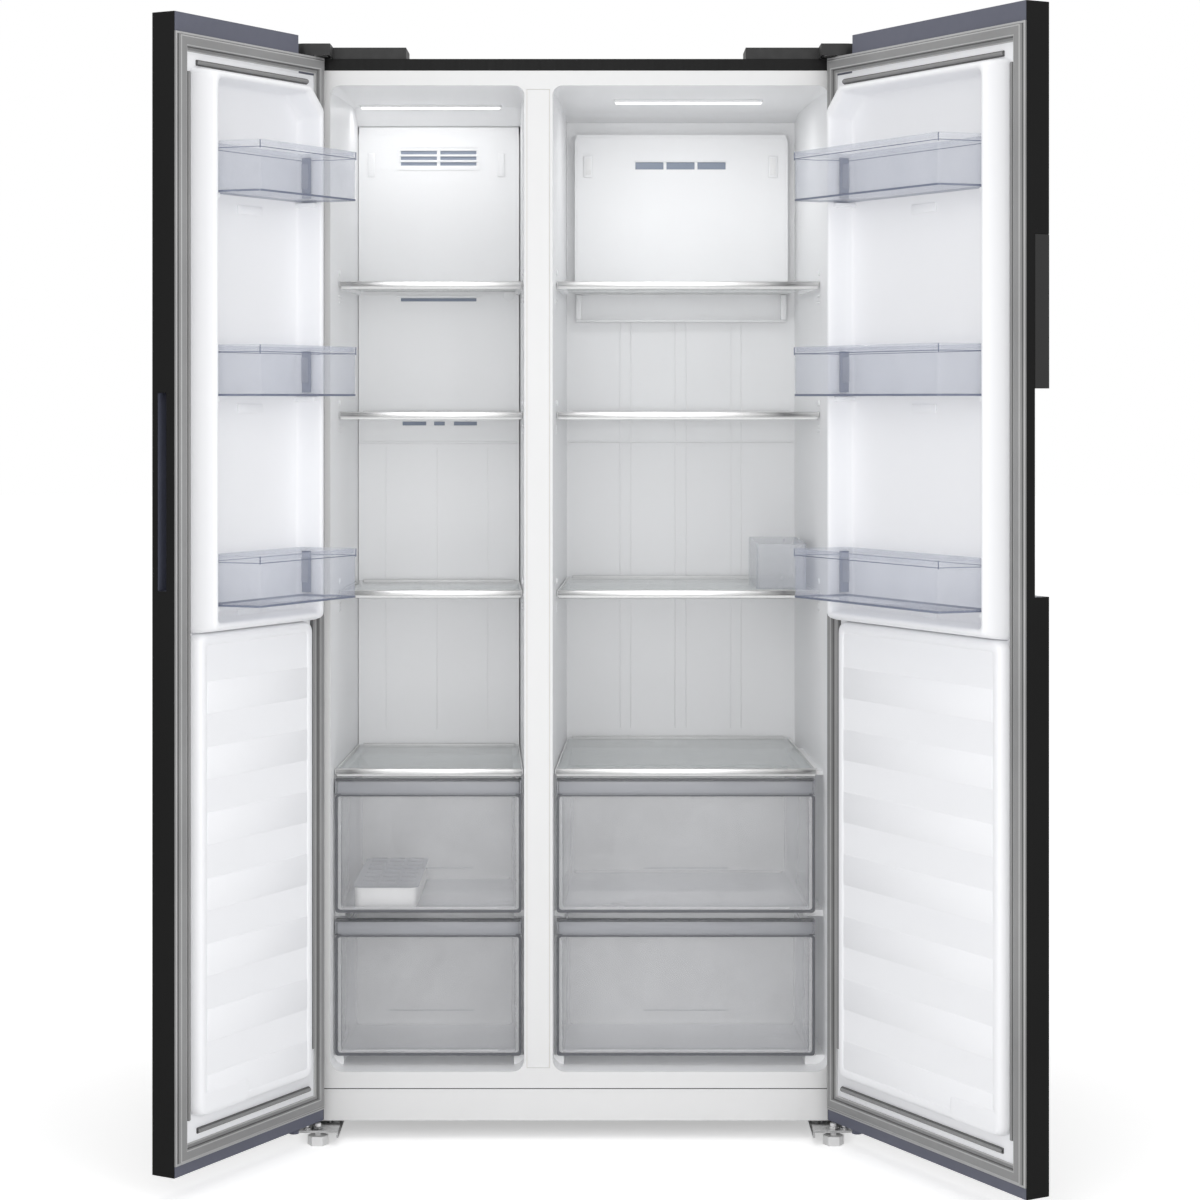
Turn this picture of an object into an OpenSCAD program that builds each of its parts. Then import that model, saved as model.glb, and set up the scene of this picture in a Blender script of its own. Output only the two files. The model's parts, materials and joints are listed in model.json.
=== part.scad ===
// Side-by-side refrigerator with both doors standing open: steel cabinet, two moulded compartments,
// cooling parts, glass shelves, drawers, hinged doors with gaskets and door bins. Millimetres, +Z up.

/* [Cabinet] */
// Width across the steel sides
cab_w = 910; // [890:1:930]
// Height of the cabinet top above the floor
cab_h = 1760; // [1750:1:1780]
// Depth of the cabinet from its front frame to its back panel
cab_d = 592; // [585:1:620]
// Height of the base tray above the floor
base_z = 30; // [28:1:36]
// Depth of the freezer's air panel behind the front frame
air_panel_y = 398; // [380:1:410]

/* [Doors] */
// Width of the freezer door
freezer_door_w = 389; // [380:1:392]
// Width of the fridge door
fridge_door_w = 517; // [505:1:518]
// Thickness of the door shells
door_t = 41.5; // [38:0.5:45]
// Height of the door's bottom edge above the floor
door_z0 = 37.5; // [35:0.5:40]
// Height of the door's top edge above the floor
door_z1 = 1787.5; // [1780:0.5:1800]
// Angle at which both doors stand open
open_angle = 119.3; // [90:0.1:125]

/* [Shelves] */
// Heights of the shelf tops, from the top shelf down to the one over the drawers
shelf_top = [1403, 1185, 887, 597];
// Width of the smallest gap at each end of a shelf
shelf_gap = 1.3; // [1:0.1:3]

/* [Door bins] */
// Heights of the undersides of the door bins
bin_base = [1518, 1210, 892];
// Height of a door bin
bin_h = 78; // [60:1:90]

/* [Hidden] */
$fn = 48;

sheet_t = 1.5;
wall_t = 2;
frame_t = 2;
half_w = cab_w / 2;
inner_w = half_w - sheet_t;

// Compartments: front edges, how far each side wall leans in by lean_y, depths and heights
lean_y = 505;
freezer_x = [-400, -84];
freezer_lean = [12.7, 22.8];
fridge_x = [-38, 411];
fridge_lean = [17, 19];
open_z0 = 109.7;
open_z1 = 1716.7;
step_z = 352;
low_back_y = 290;
top_r = 16;
bottom_r = 20;
ledge_w = 7;
band_z = 1741;
kick_z = 82.2;

// Machine bay behind the lower drawers
bay_y = 340;
bay_z = 300;

// Rear rollers
roller_x = 377;
roller_y = 540;
roller_r = 18;
axle_r = 4;

// Door pivots and the shells' places
door_gap = 9;
pivot_in = 19.3;
pivot_x = half_w - pivot_in;
pivot_y = -door_gap - door_t / 2;
gasket_w = 28;
gasket_h = 8.8;
gasket_z0 = 55;
gasket_z1 = 1758;
cap_z0 = 57.5;
cap_z1 = 1757.5;
notch_x = 50;
pin_r = 6;
pin_fit = 0.05;
foot_x = 417;
stem_r = 5;
in_face = door_t / 2;

// Drawers: front plane, heights and depths, upper then lower
drawer_y = 40;
drawer_z0 = [361, 126];
drawer_z1 = [580, 349];
freezer_drawer_x = [-396.5, -89.5];
crisper_x = [-32.5, 393];
freezer_drawer_d = [315, 225];
crisper_d = [380, 228];
front_t = 6;

// How far a bin's free end flares out towards its door
bin_flare = 8;

// Fan blades
blade_w = 24;
blade_pitch = 33;

// The frame's origin: floor, under the middle of the box round the object with its doors open
free_freezer = freezer_door_w - pivot_in;
free_fridge = fridge_door_w - pivot_in;
mid_x = (free_freezer - free_fridge) * cos(open_angle) / 2;
door_reach = pivot_y - free_fridge * sin(open_angle) + (in_face + gasket_h) * cos(open_angle);
mid_y = (cab_d + door_reach) / 2;

white = "white";
clear_blue = [0.72, 0.75, 0.82, 0.6];
glass_tint = [0.85, 0.9, 0.92, 0.5];

module place() translate([-mid_x, -mid_y, 0]) children();
module on_freezer_door() place() translate([-pivot_x, pivot_y, 0]) rotate([0, 0, -open_angle]) children();
module on_fridge_door() {
    place() translate([pivot_x, pivot_y, 0]) rotate([0, 0, open_angle]) mirror([1, 0, 0]) children();
}

// A block from one corner to the other
module block(a, b) translate(a) cube(b - a);

// A plate in the XZ plane with round corners, its front at y and its thickness t
module round_plate(x0, x1, z0, z1, rt, rb, y, t) {
    translate([0, y + t, 0]) rotate([90, 0, 0]) linear_extrude(t) union() {
        translate([x0 + rb, z0]) square([x1 - x0 - 2 * rb, z1 - z0]);
        translate([x0 + rt, z0 + rb]) square([x1 - x0 - 2 * rt, z1 - z0 - rb]);
        translate([x0, z0 + rb]) square([x1 - x0, z1 - z0 - rb - rt]);
        for (x = [x0 + rt, x1 - rt]) translate([x, z1 - rt]) circle(rt);
        for (x = [x0 + rb, x1 - rb]) translate([x, z0 + rb]) circle(rb);
    }
}

// ---- Compartments ----

// Where a side wall is at depth y
function wall_x(xs, leans, side, y) = xs[side] + (side == 0 ? 1 : -1) * leans[side] * y / lean_y;

// The space inside a compartment, grown by g, from depth y0 back
module compartment(xs, leans, g, y0) {
    back = lean_y + g;
    intersection() {
        linear_extrude(cab_h) polygon([
            [xs[0] - g, y0], [xs[1] + g, y0],
            [wall_x(xs, leans, 1, lean_y) + g, back], [wall_x(xs, leans, 0, lean_y) - g, back]
        ]);
        round_plate(xs[0] - g, xs[1] + g, open_z0 - g, open_z1 + g, top_r + g, bottom_r + g, y0, back - y0);
        union() {
            block([-cab_w, y0, step_z - g], [cab_w, back, cab_h]);
            block([-cab_w, y0, 0], [cab_w, low_back_y + g, cab_h]);
        }
    }
}

// Bands along both side walls, reach wide on the left and on the right, where the children are
module wall_bands(xs, leans, reach) {
    intersection() {
        difference() {
            compartment(xs, leans, 0.5, frame_t);
            linear_extrude(cab_h) polygon([
                [xs[0] + reach[0], 0], [xs[1] - reach[1], 0],
                [wall_x(xs, leans, 1, lean_y) - reach[1], lean_y + 2],
                [wall_x(xs, leans, 0, lean_y) + reach[0], lean_y + 2]
            ]);
        }
        children();
    }
}

// Ribs on the side walls that carry the shelves and the drawers
module wall_ledges(xs, leans, drawer_reach) {
    wall_bands(xs, leans, [ledge_w, ledge_w]) {
        for (i = [0:2]) block([-cab_w, 130, shelf_top[i] - 13], [cab_w, 385, shelf_top[i] - 7]);
    }
    wall_bands(xs, leans, drawer_reach) {
        block([-cab_w, 70, shelf_top[3] - 13], [cab_w, 370, shelf_top[3] - 7]);
        block([-cab_w, 70, step_z - 1.5], [cab_w, 280, drawer_z0[0] - 0.5]);
        block([-cab_w, 50, open_z0 - 1], [cab_w, 270, drawer_z0[1] - 0.5]);
    }
}

module liner(xs, leans, drawer_reach, cove_y, cove_z) {
    difference() {
        compartment(xs, leans, wall_t, frame_t);
        compartment(xs, leans, 0, 0);
    }
    wall_ledges(xs, leans, drawer_reach);
    intersection() {
        compartment(xs, leans, 0.5, frame_t);
        rotate([90, 0, 90]) translate([0, 0, -cab_w]) linear_extrude(2 * cab_w) polygon([
            [cove_y[0], open_z1 + 1], [cove_y[0], open_z1], [cove_y[1], cove_z], [cove_y[1], open_z1 + 1]
        ]);
    }
}

module freezer_liner() {
    color(white) place() liner(freezer_x, freezer_lean, [16, 16], [335, air_panel_y], 1689);
}

module fridge_liner() {
    color(white) place() liner(fridge_x, fridge_lean, [16, 32], [440, lean_y], 1706);
}

module foam_insulation() {
    color("khaki") place() difference() {
        block([-inner_w, frame_t, base_z + sheet_t], [inner_w, cab_d - sheet_t, cab_h - sheet_t]);
        compartment(freezer_x, freezer_lean, wall_t, frame_t);
        compartment(fridge_x, fridge_lean, wall_t, frame_t);
        block([-cab_w, bay_y - sheet_t, 0], [cab_w, cab_d, bay_z + sheet_t]);
        block([149, 556, 1349], [331, cab_d, 1501]);
    }
}

// ---- Cabinet ----

module cabinet_shell() {
    color([0.13, 0.13, 0.13]) place() difference() {
        block([-half_w, 0, base_z], [half_w, cab_d, cab_h]);
        block([-inner_w, sheet_t, 0], [inner_w, cab_d + 1, cab_h - sheet_t]);
        block([-half_w + 15, -1, 0], [half_w - 15, sheet_t + 1, band_z]);
    }
}

module back_panel() {
    color([0.55, 0.56, 0.58]) place() difference() {
        block([-inner_w, cab_d - sheet_t, bay_z + sheet_t], [inner_w, cab_d, cab_h - sheet_t]);
        for (z = [500:300:1400]) block([-330, cab_d - 0.5, z], [-60, cab_d + 1, z + 6]);
    }
}

// Floor sheet that bends up into the front and the roof of the machine bay
module base_tray() {
    color("silver") place() {
        difference() {
            rotate([90, 0, 90]) translate([0, 0, -inner_w]) linear_extrude(2 * inner_w) {
                translate([frame_t, base_z]) square([cab_d - frame_t - sheet_t, sheet_t]);
                translate([bay_y - sheet_t, base_z]) square([sheet_t, bay_z - base_z + sheet_t]);
                translate([bay_y - sheet_t, bay_z]) square([cab_d - bay_y, sheet_t]);
            }
            for (s = [-1, 1]) {
                block([s * roller_x - 15, roller_y - 21, 0], [s * roller_x + 15, roller_y + 21, 60]);
            }
        }
        for (s = [-1, 1]) for (x = [roller_x - 18, roller_x + 18]) difference() {
            block([s * x - 2, roller_y - 25, 9], [s * x + 2, roller_y + 25, base_z + 0.2]);
            translate([s * x - 3, roller_y, roller_r]) rotate([0, 90, 0]) {
                cylinder(h = 6, r = axle_r + pin_fit);
            }
        }
    }
}

module front_frame() {
    color(white) place() difference() {
        block([-half_w + 15, 0, kick_z + 0.6], [half_w - 15, frame_t - 0.1, band_z - 0.2]);
        for (xs = [freezer_x, fridge_x]) {
            round_plate(xs[0], xs[1], open_z0, open_z1, top_r, bottom_r, -1, frame_t + 2);
        }
        block([-80, -1, open_z0 + 6], [-42.5, frame_t + 1, open_z1 - 6]);
    }
}

module mullion_strip() {
    color(white) place() block([-79.5, 0.2, open_z0 + 6.5], [-43, frame_t - 0.1, open_z1 - 6.5]);
}

module kick_plate() {
    color(white) place() block([-half_w + 15, 0.3, base_z], [half_w - 15, frame_t - 0.1, kick_z]);
}

// Cover over the evaporator with its grille and slots, and the fridge's air outlet box
module air_panels() {
    color(white) place() {
        difference() {
            round_plate(-389, -104, step_z + 0.5, 1688, 16, 1, air_panel_y, 3);
            for (x = [-314, -244]) for (i = [0:2]) block([x, 0, 1620 + 10 * i], [x + 64, 500, 1626 + 10 * i]);
            block([-314, 0, 1379], [-180, 500, 1385]);
            for (x = [[-311, -269], [-255, -236], [-220, -179]]) block([x[0], 0, 1159], [x[1], 500, 1166]);
        }
        difference() {
            round_plate(-6, 378, 1395, 1682, 14, 4, 480, 24.8);
            round_plate(-3, 375, 1398, 1679, 11, 2, 483, 30);
            for (x = [103, 159, 215]) block([x, 0, 1620], [x + 51, 500, 1633]);
        }
    }
}

module led_lamps() {
    color("lightyellow") place() {
        block([-375, 296, open_z1 - 6], [-135, 312, open_z1 - 0.1]);
        block([66, 215, open_z1 - 6], [315, 231, open_z1 - 0.1]);
    }
}

module control_box() {
    color("gray") place() block([150, 557, 1350], [330, cab_d - sheet_t - 0.2, 1500]);
}

// ---- Cooling parts ----

module compressor() {
    color([0.12, 0.12, 0.13]) place() {
        translate([250, 470, 47]) rotate_extrude($fn = 96) {
            square([80, 150]);
            translate([0, 15]) square([95, 120]);
            translate([80, 15]) circle(15);
            translate([80, 135]) circle(15);
        }
        translate([250, 470, 60]) cylinder(h = 6, r = 101);
        for (x = [170, 330]) for (y = [400, 540]) {
            translate([x, y, base_z + sheet_t]) cylinder(h = 16, r = 11);
        }
        block([155, 385, 47], [345, 555, 50]);
        translate([165, 500, 120]) cylinder(h = bay_z - 120, r = 4);
        translate([165, 440, 120]) cylinder(h = bay_z - 120, r = 4);
        for (y = [440, 500]) translate([160, y, 124]) rotate([0, 90, 0]) cylinder(h = 20, r = 4);
    }
}

// Finned block with its fan motor on a stand
module condenser() {
    color("silver") place() {
        for (i = [0:13]) block([-330 + 12 * i, 400, 62], [-329 + 12 * i, 540, 230]);
        for (y = [430, 470, 510]) for (z = [90, 145, 200]) {
            translate([-335, y, z]) rotate([0, 90, 0]) cylinder(h = 166, r = 4);
        }
        for (x = [-335, -170]) block([x, 395, base_z + sheet_t], [x + 3, 545, 232]);
        translate([-80, 470, 150]) rotate([0, 90, 0]) cylinder(h = 40, r = 20);
        translate([-120, 470, 150]) rotate([0, 90, 0]) cylinder(h = 41, r = 3);
        block([-70, 462, base_z + sheet_t], [-50, 478, 145]);
    }
}

// Blades round a hub whose bore runs on a motor shaft along Z
module fan(r, blades, depth) {
    difference() {
        union() {
            cylinder(h = depth, r = 14);
            for (i = [0:blades - 1]) rotate([0, 0, i * 360 / blades]) {
                translate([11, 0, depth / 2]) rotate([blade_pitch, 0, 0]) {
                    block([0, -blade_w / 2, -1], [r - 18, blade_w / 2, 1]);
                }
            }
        }
        translate([0, 0, -depth]) cylinder(h = 3 * depth, r = 3 + pin_fit);
    }
}

module condenser_fan() {
    color("dimgray") place() translate([-112, 470, 150]) rotate([0, 90, 0]) fan(70, 5, 22);
}

module evaporator() {
    color("silver") place() {
        for (i = [0:20]) block([-372 + 12 * i, 420, 700], [-371 + 12 * i, 485, 1000]);
        for (y = [437, 468]) for (z = [730:60:970]) {
            translate([-378, y, z]) rotate([0, 90, 0]) cylinder(h = 258, r = 4);
        }
        for (x = [-378, -123]) block([x, 418, 690], [x + 3, 487, 1010]);
        translate([-378, 452, 660]) rotate([0, 90, 0]) cylinder(h = 258, r = 5);
        for (x = [-378, -123]) block([x, 446, 650], [x + 3, 458, 691]);
        for (x = [-378, -123]) block([x, 455, 1009], [x + 3, lean_y - 0.2, 1016]);
        translate([-247, 462, 1250]) rotate([-90, 0, 0]) cylinder(h = 42.8, r = 20);
        translate([-247, 425, 1250]) rotate([-90, 0, 0]) cylinder(h = 38, r = 3);
    }
}

module evaporator_fan() {
    color("dimgray") place() translate([-247, 430, 1250]) rotate([-90, 0, 0]) fan(60, 5, 20);
}

module drain_pan() {
    color("gray") place() difference() {
        block([-324, 392, base_z + sheet_t + 0.2], [-176, 548, 56]);
        block([-321, 395, base_z + sheet_t + 2.2], [-179, 545, 60]);
    }
}

module compressor_cover() {
    color([0.35, 0.35, 0.36]) place() difference() {
        block([-inner_w + 1, cab_d - sheet_t, base_z + 4], [inner_w - 1, cab_d, bay_z]);
        for (x = [-380:70:320]) for (z = [80:24:248]) {
            block([x, cab_d - 5, z], [x + 54, cab_d + 5, z + 7]);
        }
    }
}

// ---- Hinges, feet and rollers ----

module hinge_cover() {
    difference() {
        union() {
            block([-half_w + 2, 4, cab_h], [-277, 88, cab_h + 19]);
            block([-pivot_x - 19, pivot_y, cab_h], [-pivot_x + 40, 10, cab_h + 19]);
            translate([-pivot_x, pivot_y, cab_h]) cylinder(h = 19, r = 19);
            block([-pivot_x, pivot_y - 19, cab_h], [-pivot_x + 40, pivot_y + 1, cab_h + 19]);
        }
        block([-half_w + 4, 6, cab_h - 1], [-279, 86, cab_h + 17]);
        block([-pivot_x - 17, pivot_y, cab_h - 1], [-pivot_x + 38, 12, cab_h + 17]);
        translate([-pivot_x, pivot_y, cab_h - 1]) cylinder(h = 18, r = 17);
        block([-pivot_x, pivot_y - 17, cab_h - 1], [-pivot_x + 38, pivot_y + 1, cab_h + 17]);
    }
}

module hinge_covers() {
    color([0.16, 0.16, 0.17]) place() {
        hinge_cover();
        mirror([1, 0, 0]) hinge_cover();
    }
}

// One top bracket and one bottom bracket, each with its pin
module hinge_pair() {
    translate([-pivot_x, pivot_y, cab_h + 0.5]) cylinder(h = 4, r = 14);
    block([-pivot_x - 14, pivot_y, cab_h + 0.5], [-pivot_x + 34, 70, cab_h + 4.5]);
    block([-pivot_x - 14, 20, cab_h], [-300, 70, cab_h + 4.5]);
    translate([-pivot_x, pivot_y, cab_h - 26]) cylinder(h = 30, r = pin_r);
    difference() {
        block([-half_w + 4, pivot_y - 16, 22], [-386, 60, 26]);
        translate([-foot_x, pivot_y, 0]) cylinder(h = 60, r = stem_r + pin_fit);
    }
    block([-half_w + 4, 20, 22], [-386, 60, base_z]);
    block([-386, pivot_y - 16, 14], [-383, 60, 26]);
    translate([-pivot_x, pivot_y, 23]) cylinder(h = 29, r = pin_r);
}

module door_hinges() {
    color("silver") place() {
        hinge_pair();
        mirror([1, 0, 0]) hinge_pair();
    }
}

module levelling_foot() {
    cylinder(h = 15, r = 17, $fn = 6);
    cylinder(h = 34, r = stem_r);
}

module foot_left() {
    color("white") place() translate([-foot_x, pivot_y, 0]) levelling_foot();
}

module foot_right() {
    color("white") place() translate([foot_x, pivot_y, 0]) levelling_foot();
}

module rear_rollers() {
    color("dimgray") place() {
        translate([-402, roller_y, roller_r]) rotate([0, 90, 0]) cylinder(h = 804, r = axle_r);
        for (s = [-1, 1]) translate([s * roller_x - 12, roller_y, roller_r]) rotate([0, 90, 0]) {
            cylinder(h = 24, r = roller_r);
        }
    }
}

// ---- Shelves ----

// Glass plate, steel front bar with a white lip, and a rear lip, between the leaning walls
module shelf(xs, leans, top, y0, y1, right_in) {
    right = right_in + shelf_gap;
    x_l = wall_x(xs, leans, 0, y0) + shelf_gap;
    x_r = wall_x(xs, leans, 1, y0) - right;
    translate([0, 0, top - 6.5]) linear_extrude(4) polygon([
        [x_l, y0 + 3], [x_r, y0 + 3],
        [wall_x(xs, leans, 1, y1) - right, y1], [wall_x(xs, leans, 0, y1) + shelf_gap, y1]
    ]);
    block([x_l, y0, top - 10.3], [x_r, y0 + 6, top]);
    block([x_l + 2, y0 + 2, top - 14], [x_r - 2, y0 + 14, top - 6]);
    lip_r = wall_x(xs, leans, 1, y1) - right - 8;
    block([wall_x(xs, leans, 0, y1) + 9, y1 - 8, top - 7], [lip_r, y1 - 0.5, top]);
}

module freezer_shelf(i) {
    color(glass_tint) place() {
        if (i < 4) shelf(freezer_x, freezer_lean, shelf_top[i - 1], 110, air_panel_y - 2, 0);
        else shelf(freezer_x, freezer_lean, shelf_top[3], 50, 392, 0);
    }
}

module fridge_shelf(i) {
    color(glass_tint) place() {
        if (i == 1) shelf(fridge_x, fridge_lean, shelf_top[0], 110, 478, 0);
        else if (i < 4) shelf(fridge_x, fridge_lean, shelf_top[i - 1], 110, 500, 0);
        else shelf(fridge_x, fridge_lean, shelf_top[3], 50, 498, 11);
    }
}

// ---- Drawers ----

// Open tub whose sides follow the leaning walls; x holds its front corners
module tub(x, leans, z0, z1, y0, y1, t) {
    lean_l = leans[0] * (y1 - y0) / lean_y;
    lean_r = leans[1] * (y1 - y0) / lean_y;
    difference() {
        translate([0, 0, z0]) linear_extrude(z1 - z0) polygon([
            [x[0], y0], [x[1], y0], [x[1] - lean_r, y1], [x[0] + lean_l, y1]
        ]);
        translate([0, 0, z0 + t]) linear_extrude(z1 - z0) polygon([
            [x[0] + t, y0 + t], [x[1] - t, y0 + t], [x[1] - lean_r - t, y1 - t], [x[0] + lean_l + t, y1 - t]
        ]);
    }
}

module drawer(x, leans, i, depth) {
    side = 7;
    bottom = drawer_z0[i - 1] + 1;
    rim = drawer_z1[i - 1] - 26;
    color([0.93, 0.94, 0.96, 0.8]) place() {
        tub([x[0] + side, x[1] - side], leans, bottom, rim, drawer_y + front_t, drawer_y + depth, 2.5);
    }
}

module drawer_front(x, i) {
    z0 = drawer_z0[i - 1];
    z1 = drawer_z1[i - 1];
    color([0.8, 0.81, 0.84, 0.6]) place() {
        block([x[0], drawer_y, z0], [x[1], drawer_y + front_t, z1 - 25]);
        block([x[0], drawer_y + 3, z1 - 25], [x[1], drawer_y + front_t, z1]);
        block([x[0], drawer_y, z1 - 3], [x[1], drawer_y + 22, z1]);
        for (s = [0, 1]) block(
            [s == 0 ? x[0] : x[1] - 3, drawer_y, z1 - 25], [s == 0 ? x[0] + 3 : x[1], drawer_y + 20, z1]
        );
    }
}

module ice_box() {
    color(white) place() difference() {
        round_box(-366, -262, 52, 332, 364.8, 400, 14);
        round_box(-364, -264, 54, 330, 366.8, 402, 12);
    }
}

module ice_lid() {
    color(clear_blue) place() union() {
        round_box(-368, -260, 50, 334, 400.4, 403.5, 16);
        for (i = [0:2]) for (j = [0:6]) {
            x = -357 + 31.5 * i;
            y = 64 + 38 * j;
            block([x, y, 403], [x + 28, y + 32, 405]);
        }
    }
}

// Upright block with rounded corners in plan
module round_box(x0, x1, y0, y1, z0, z1, r) {
    translate([0, 0, z0]) linear_extrude(z1 - z0) union() {
        translate([x0 + r, y0]) square([x1 - x0 - 2 * r, y1 - y0]);
        translate([x0, y0 + r]) square([x1 - x0, y1 - y0 - 2 * r]);
        for (x = [x0 + r, x1 - r]) for (y = [y0 + r, y1 - r]) translate([x, y]) circle(r);
    }
}

module egg_tray() {
    base = shelf_top[2] - 2.3;
    color(clear_blue) place() difference() {
        round_box(304, 388, 169, 415, base, base + 76, 8);
        round_box(306, 386, 171, 413, base + 2, base + 80, 6);
    }
}

// ---- Door bins ----

// Plan of a bin in its door's own directions; b is the front wall's free end, t the wall left outside
function bin_plan(b, t) = [
    [57 + t, in_face + 12 + t], [57 + t, in_face + 55], [48 + t, in_face + 60],
    [48 + t, in_face + 110 - t], [b - t, in_face + 110 - t],
    [b + bin_flare - t, in_face + 45], [b + bin_flare + 1 - t, in_face + 12 + t]
];

module door_bin(b, z) {
    difference() {
        translate([0, 0, z]) linear_extrude(bin_h) polygon(bin_plan(b, 0));
        translate([0, 0, z + 2.5]) linear_extrude(bin_h) polygon(bin_plan(b, 2.5));
    }
}

module freezer_bin(i) color(clear_blue) on_freezer_door() door_bin(303, bin_base[i - 1]);
module fridge_bin(i) color(clear_blue) on_fridge_door() door_bin(431, bin_base[i - 1]);

// ---- Doors, in their own directions: x from the pivot to the free edge, y towards the cabinet ----

module door_block(w, inset) {
    difference() {
        block([-pivot_in + inset, -in_face + inset, door_z0], [w - pivot_in - inset, in_face, door_z1]);
        block([-pivot_in - 1, -in_face - 1, cap_z1 - 0.5], [notch_x + inset, in_face + 1, door_z1 + 1]);
    }
}

module door_skin(w) {
    difference() {
        door_block(w, 0);
        block([-pivot_in + 1.2, -in_face + 1.2, 0], [w - pivot_in - 1.2, in_face + 1, door_z1 + 1]);
        children();
    }
}

module door_caps(w) {
    difference() {
        door_block(w, 1.4);
        block([-pivot_in, -in_face, cap_z0], [w, in_face + 1, cap_z1 - 30]);
        block([notch_x, -in_face, cap_z0], [w, in_face + 1, cap_z1]);
        translate([0, 0, cap_z1 - 26]) cylinder(h = 40, r = pin_r + pin_fit);
        cylinder(h = 80, r = pin_r + pin_fit);
        children();
    }
    translate([43, 6, door_z0 - 9.5]) cylinder(h = 12, r = 8);
}

module door_core(w) {
    difference() {
        block(
            [-pivot_in + 1.4, -in_face + 1.4, cap_z0 + 0.2],
            [w - pivot_in - 1.4, in_face - 2.2, cap_z1 - 0.2]
        );
        block([-pivot_in, -in_face, cap_z1 - 30.2], [notch_x + 0.2, in_face, door_z1]);
        children();
    }
}

// Side rails, recessed pan and shallow lower panel of a door liner; w is the door's width
module door_liner(w) {
    edge = w - pivot_in;
    difference() {
        block([-pivot_in + 1.4, in_face - 2, cap_z0 + 0.2], [edge - 1.4, in_face, cap_z1 - 0.2]);
        block([-pivot_in, 0, cap_z1 - 30.2], [notch_x + 0.2, in_face + 1, door_z1]);
    }
    translate([0, in_face - 1, 860]) linear_extrude(847) polygon([
        [edge - 34, 0], [edge - 44, 46], [edge - 51, 46], [edge - 54, 0]
    ]);
    difference() {
        translate([0, in_face - 1, 860]) linear_extrude(847) {
            polygon([[37, 0], [38, 30], [44, 46], [51, 46], [55, 0]]);
        }
        translate([30, 0, 1707]) rotate([0, 45, 0]) block([-40, 0, -20], [20, 100, 20]);
    }
    for (z = bin_base) for (x = [50, edge - 64]) {
        block([x, in_face + 6, z - 8], [x + 13, in_face + 40, z - 0.3]);
    }
    difference() {
        block([38, in_face - 1, 121], [edge - 34, in_face + 22, 850]);
        for (z = [160:90:790]) block([52, in_face + 20, z], [edge - 62, in_face + 30, z + 45]);
    }
}

// Gasket ring; its hinge side is thinned so that it clears the cabinet as the door turns
module door_gasket(w) {
    edge = w - pivot_in;
    intersection() {
        difference() {
            block([-18.6, in_face, gasket_z0], [edge - 0.5, in_face + gasket_h, gasket_z1]);
            block([-18.6 + gasket_w, 0, gasket_z0 + gasket_w], [edge - gasket_w, 100, gasket_z1 - gasket_w]);
        }
        translate([0, in_face, 0]) linear_extrude(door_z1) polygon([
            [-19, 0], [-18, 2], [-10, 6.3], [-2, 8.2], [4, gasket_h], [w, gasket_h], [w, 0]
        ]);
    }
}

// Finger slot in the freezer door's free edge, and the notch along the fridge door's outer edge
slot_z = [917, 1215];
slot_y = [-in_face + 10, -in_face + 26.4];
slot_depth = 26;
notch_z = [916, 1221, 1447];
notch_w = 42;
notch_d = 26;

module slot_space(g) {
    edge = freezer_door_w - pivot_in;
    block([edge - slot_depth - g, slot_y[0] - g, slot_z[0] - g], [edge + 2, slot_y[1] + g, slot_z[1] + g]);
}

module notch_space(z0, z1, g) {
    edge = fridge_door_w - pivot_in;
    block([edge - notch_w - g, -in_face - 1, z0 - g], [edge + 2, -in_face + notch_d + g, z1 + g]);
}

module freezer_door_skin() {
    color([0.13, 0.13, 0.13]) on_freezer_door() door_skin(freezer_door_w) slot_space(0);
}

module freezer_door_trim() {
    color([0.2, 0.2, 0.22]) on_freezer_door() {
        door_caps(freezer_door_w);
        difference() {
            slot_space(1.4);
            slot_space(0);
            translate([freezer_door_w - pivot_in - 1.3, -50, 0]) cube([10, 100, 2000]);
        }
    }
}

module freezer_door_core() color("khaki") on_freezer_door() door_core(freezer_door_w) slot_space(1.6);
module freezer_door_liner() color(white) on_freezer_door() door_liner(freezer_door_w);
module freezer_door_gasket() color("gray") on_freezer_door() door_gasket(freezer_door_w);

module fridge_door_skin() {
    color([0.13, 0.13, 0.13]) on_fridge_door() {
        door_skin(fridge_door_w) notch_space(notch_z[0], notch_z[2], 0);
    }
}

module fridge_door_trim() {
    edge = fridge_door_w - pivot_in;
    color([0.2, 0.2, 0.22]) on_fridge_door() {
        door_caps(fridge_door_w);
        back = -in_face + notch_d;
        base = notch_z[0] - 1.4;
        block([edge - notch_w - 1.4, -in_face + 1.4, base], [edge - notch_w, back, notch_z[2]]);
        block([edge - notch_w - 1.4, back + 0.1, base], [edge - 1.4, back + 1.4, notch_z[2]]);
        block([edge - notch_w + 0.1, -in_face + 1.4, base], [edge - 1.4, back, notch_z[0]]);
    }
}

module fridge_door_core() {
    color("khaki") on_fridge_door() door_core(fridge_door_w) notch_space(notch_z[0], notch_z[2], 1.6);
}
module fridge_door_liner() color(white) on_fridge_door() door_liner(fridge_door_w);
module fridge_door_gasket() color("gray") on_fridge_door() door_gasket(fridge_door_w);

module display_module() {
    edge = fridge_door_w - pivot_in;
    color("black") on_fridge_door() {
        block(
            [edge - notch_w + 0.2, -in_face, notch_z[1]],
            [edge, -in_face + notch_d - 0.2, notch_z[2] - 0.2]
        );
    }
}

// ---- Nodes ----

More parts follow.
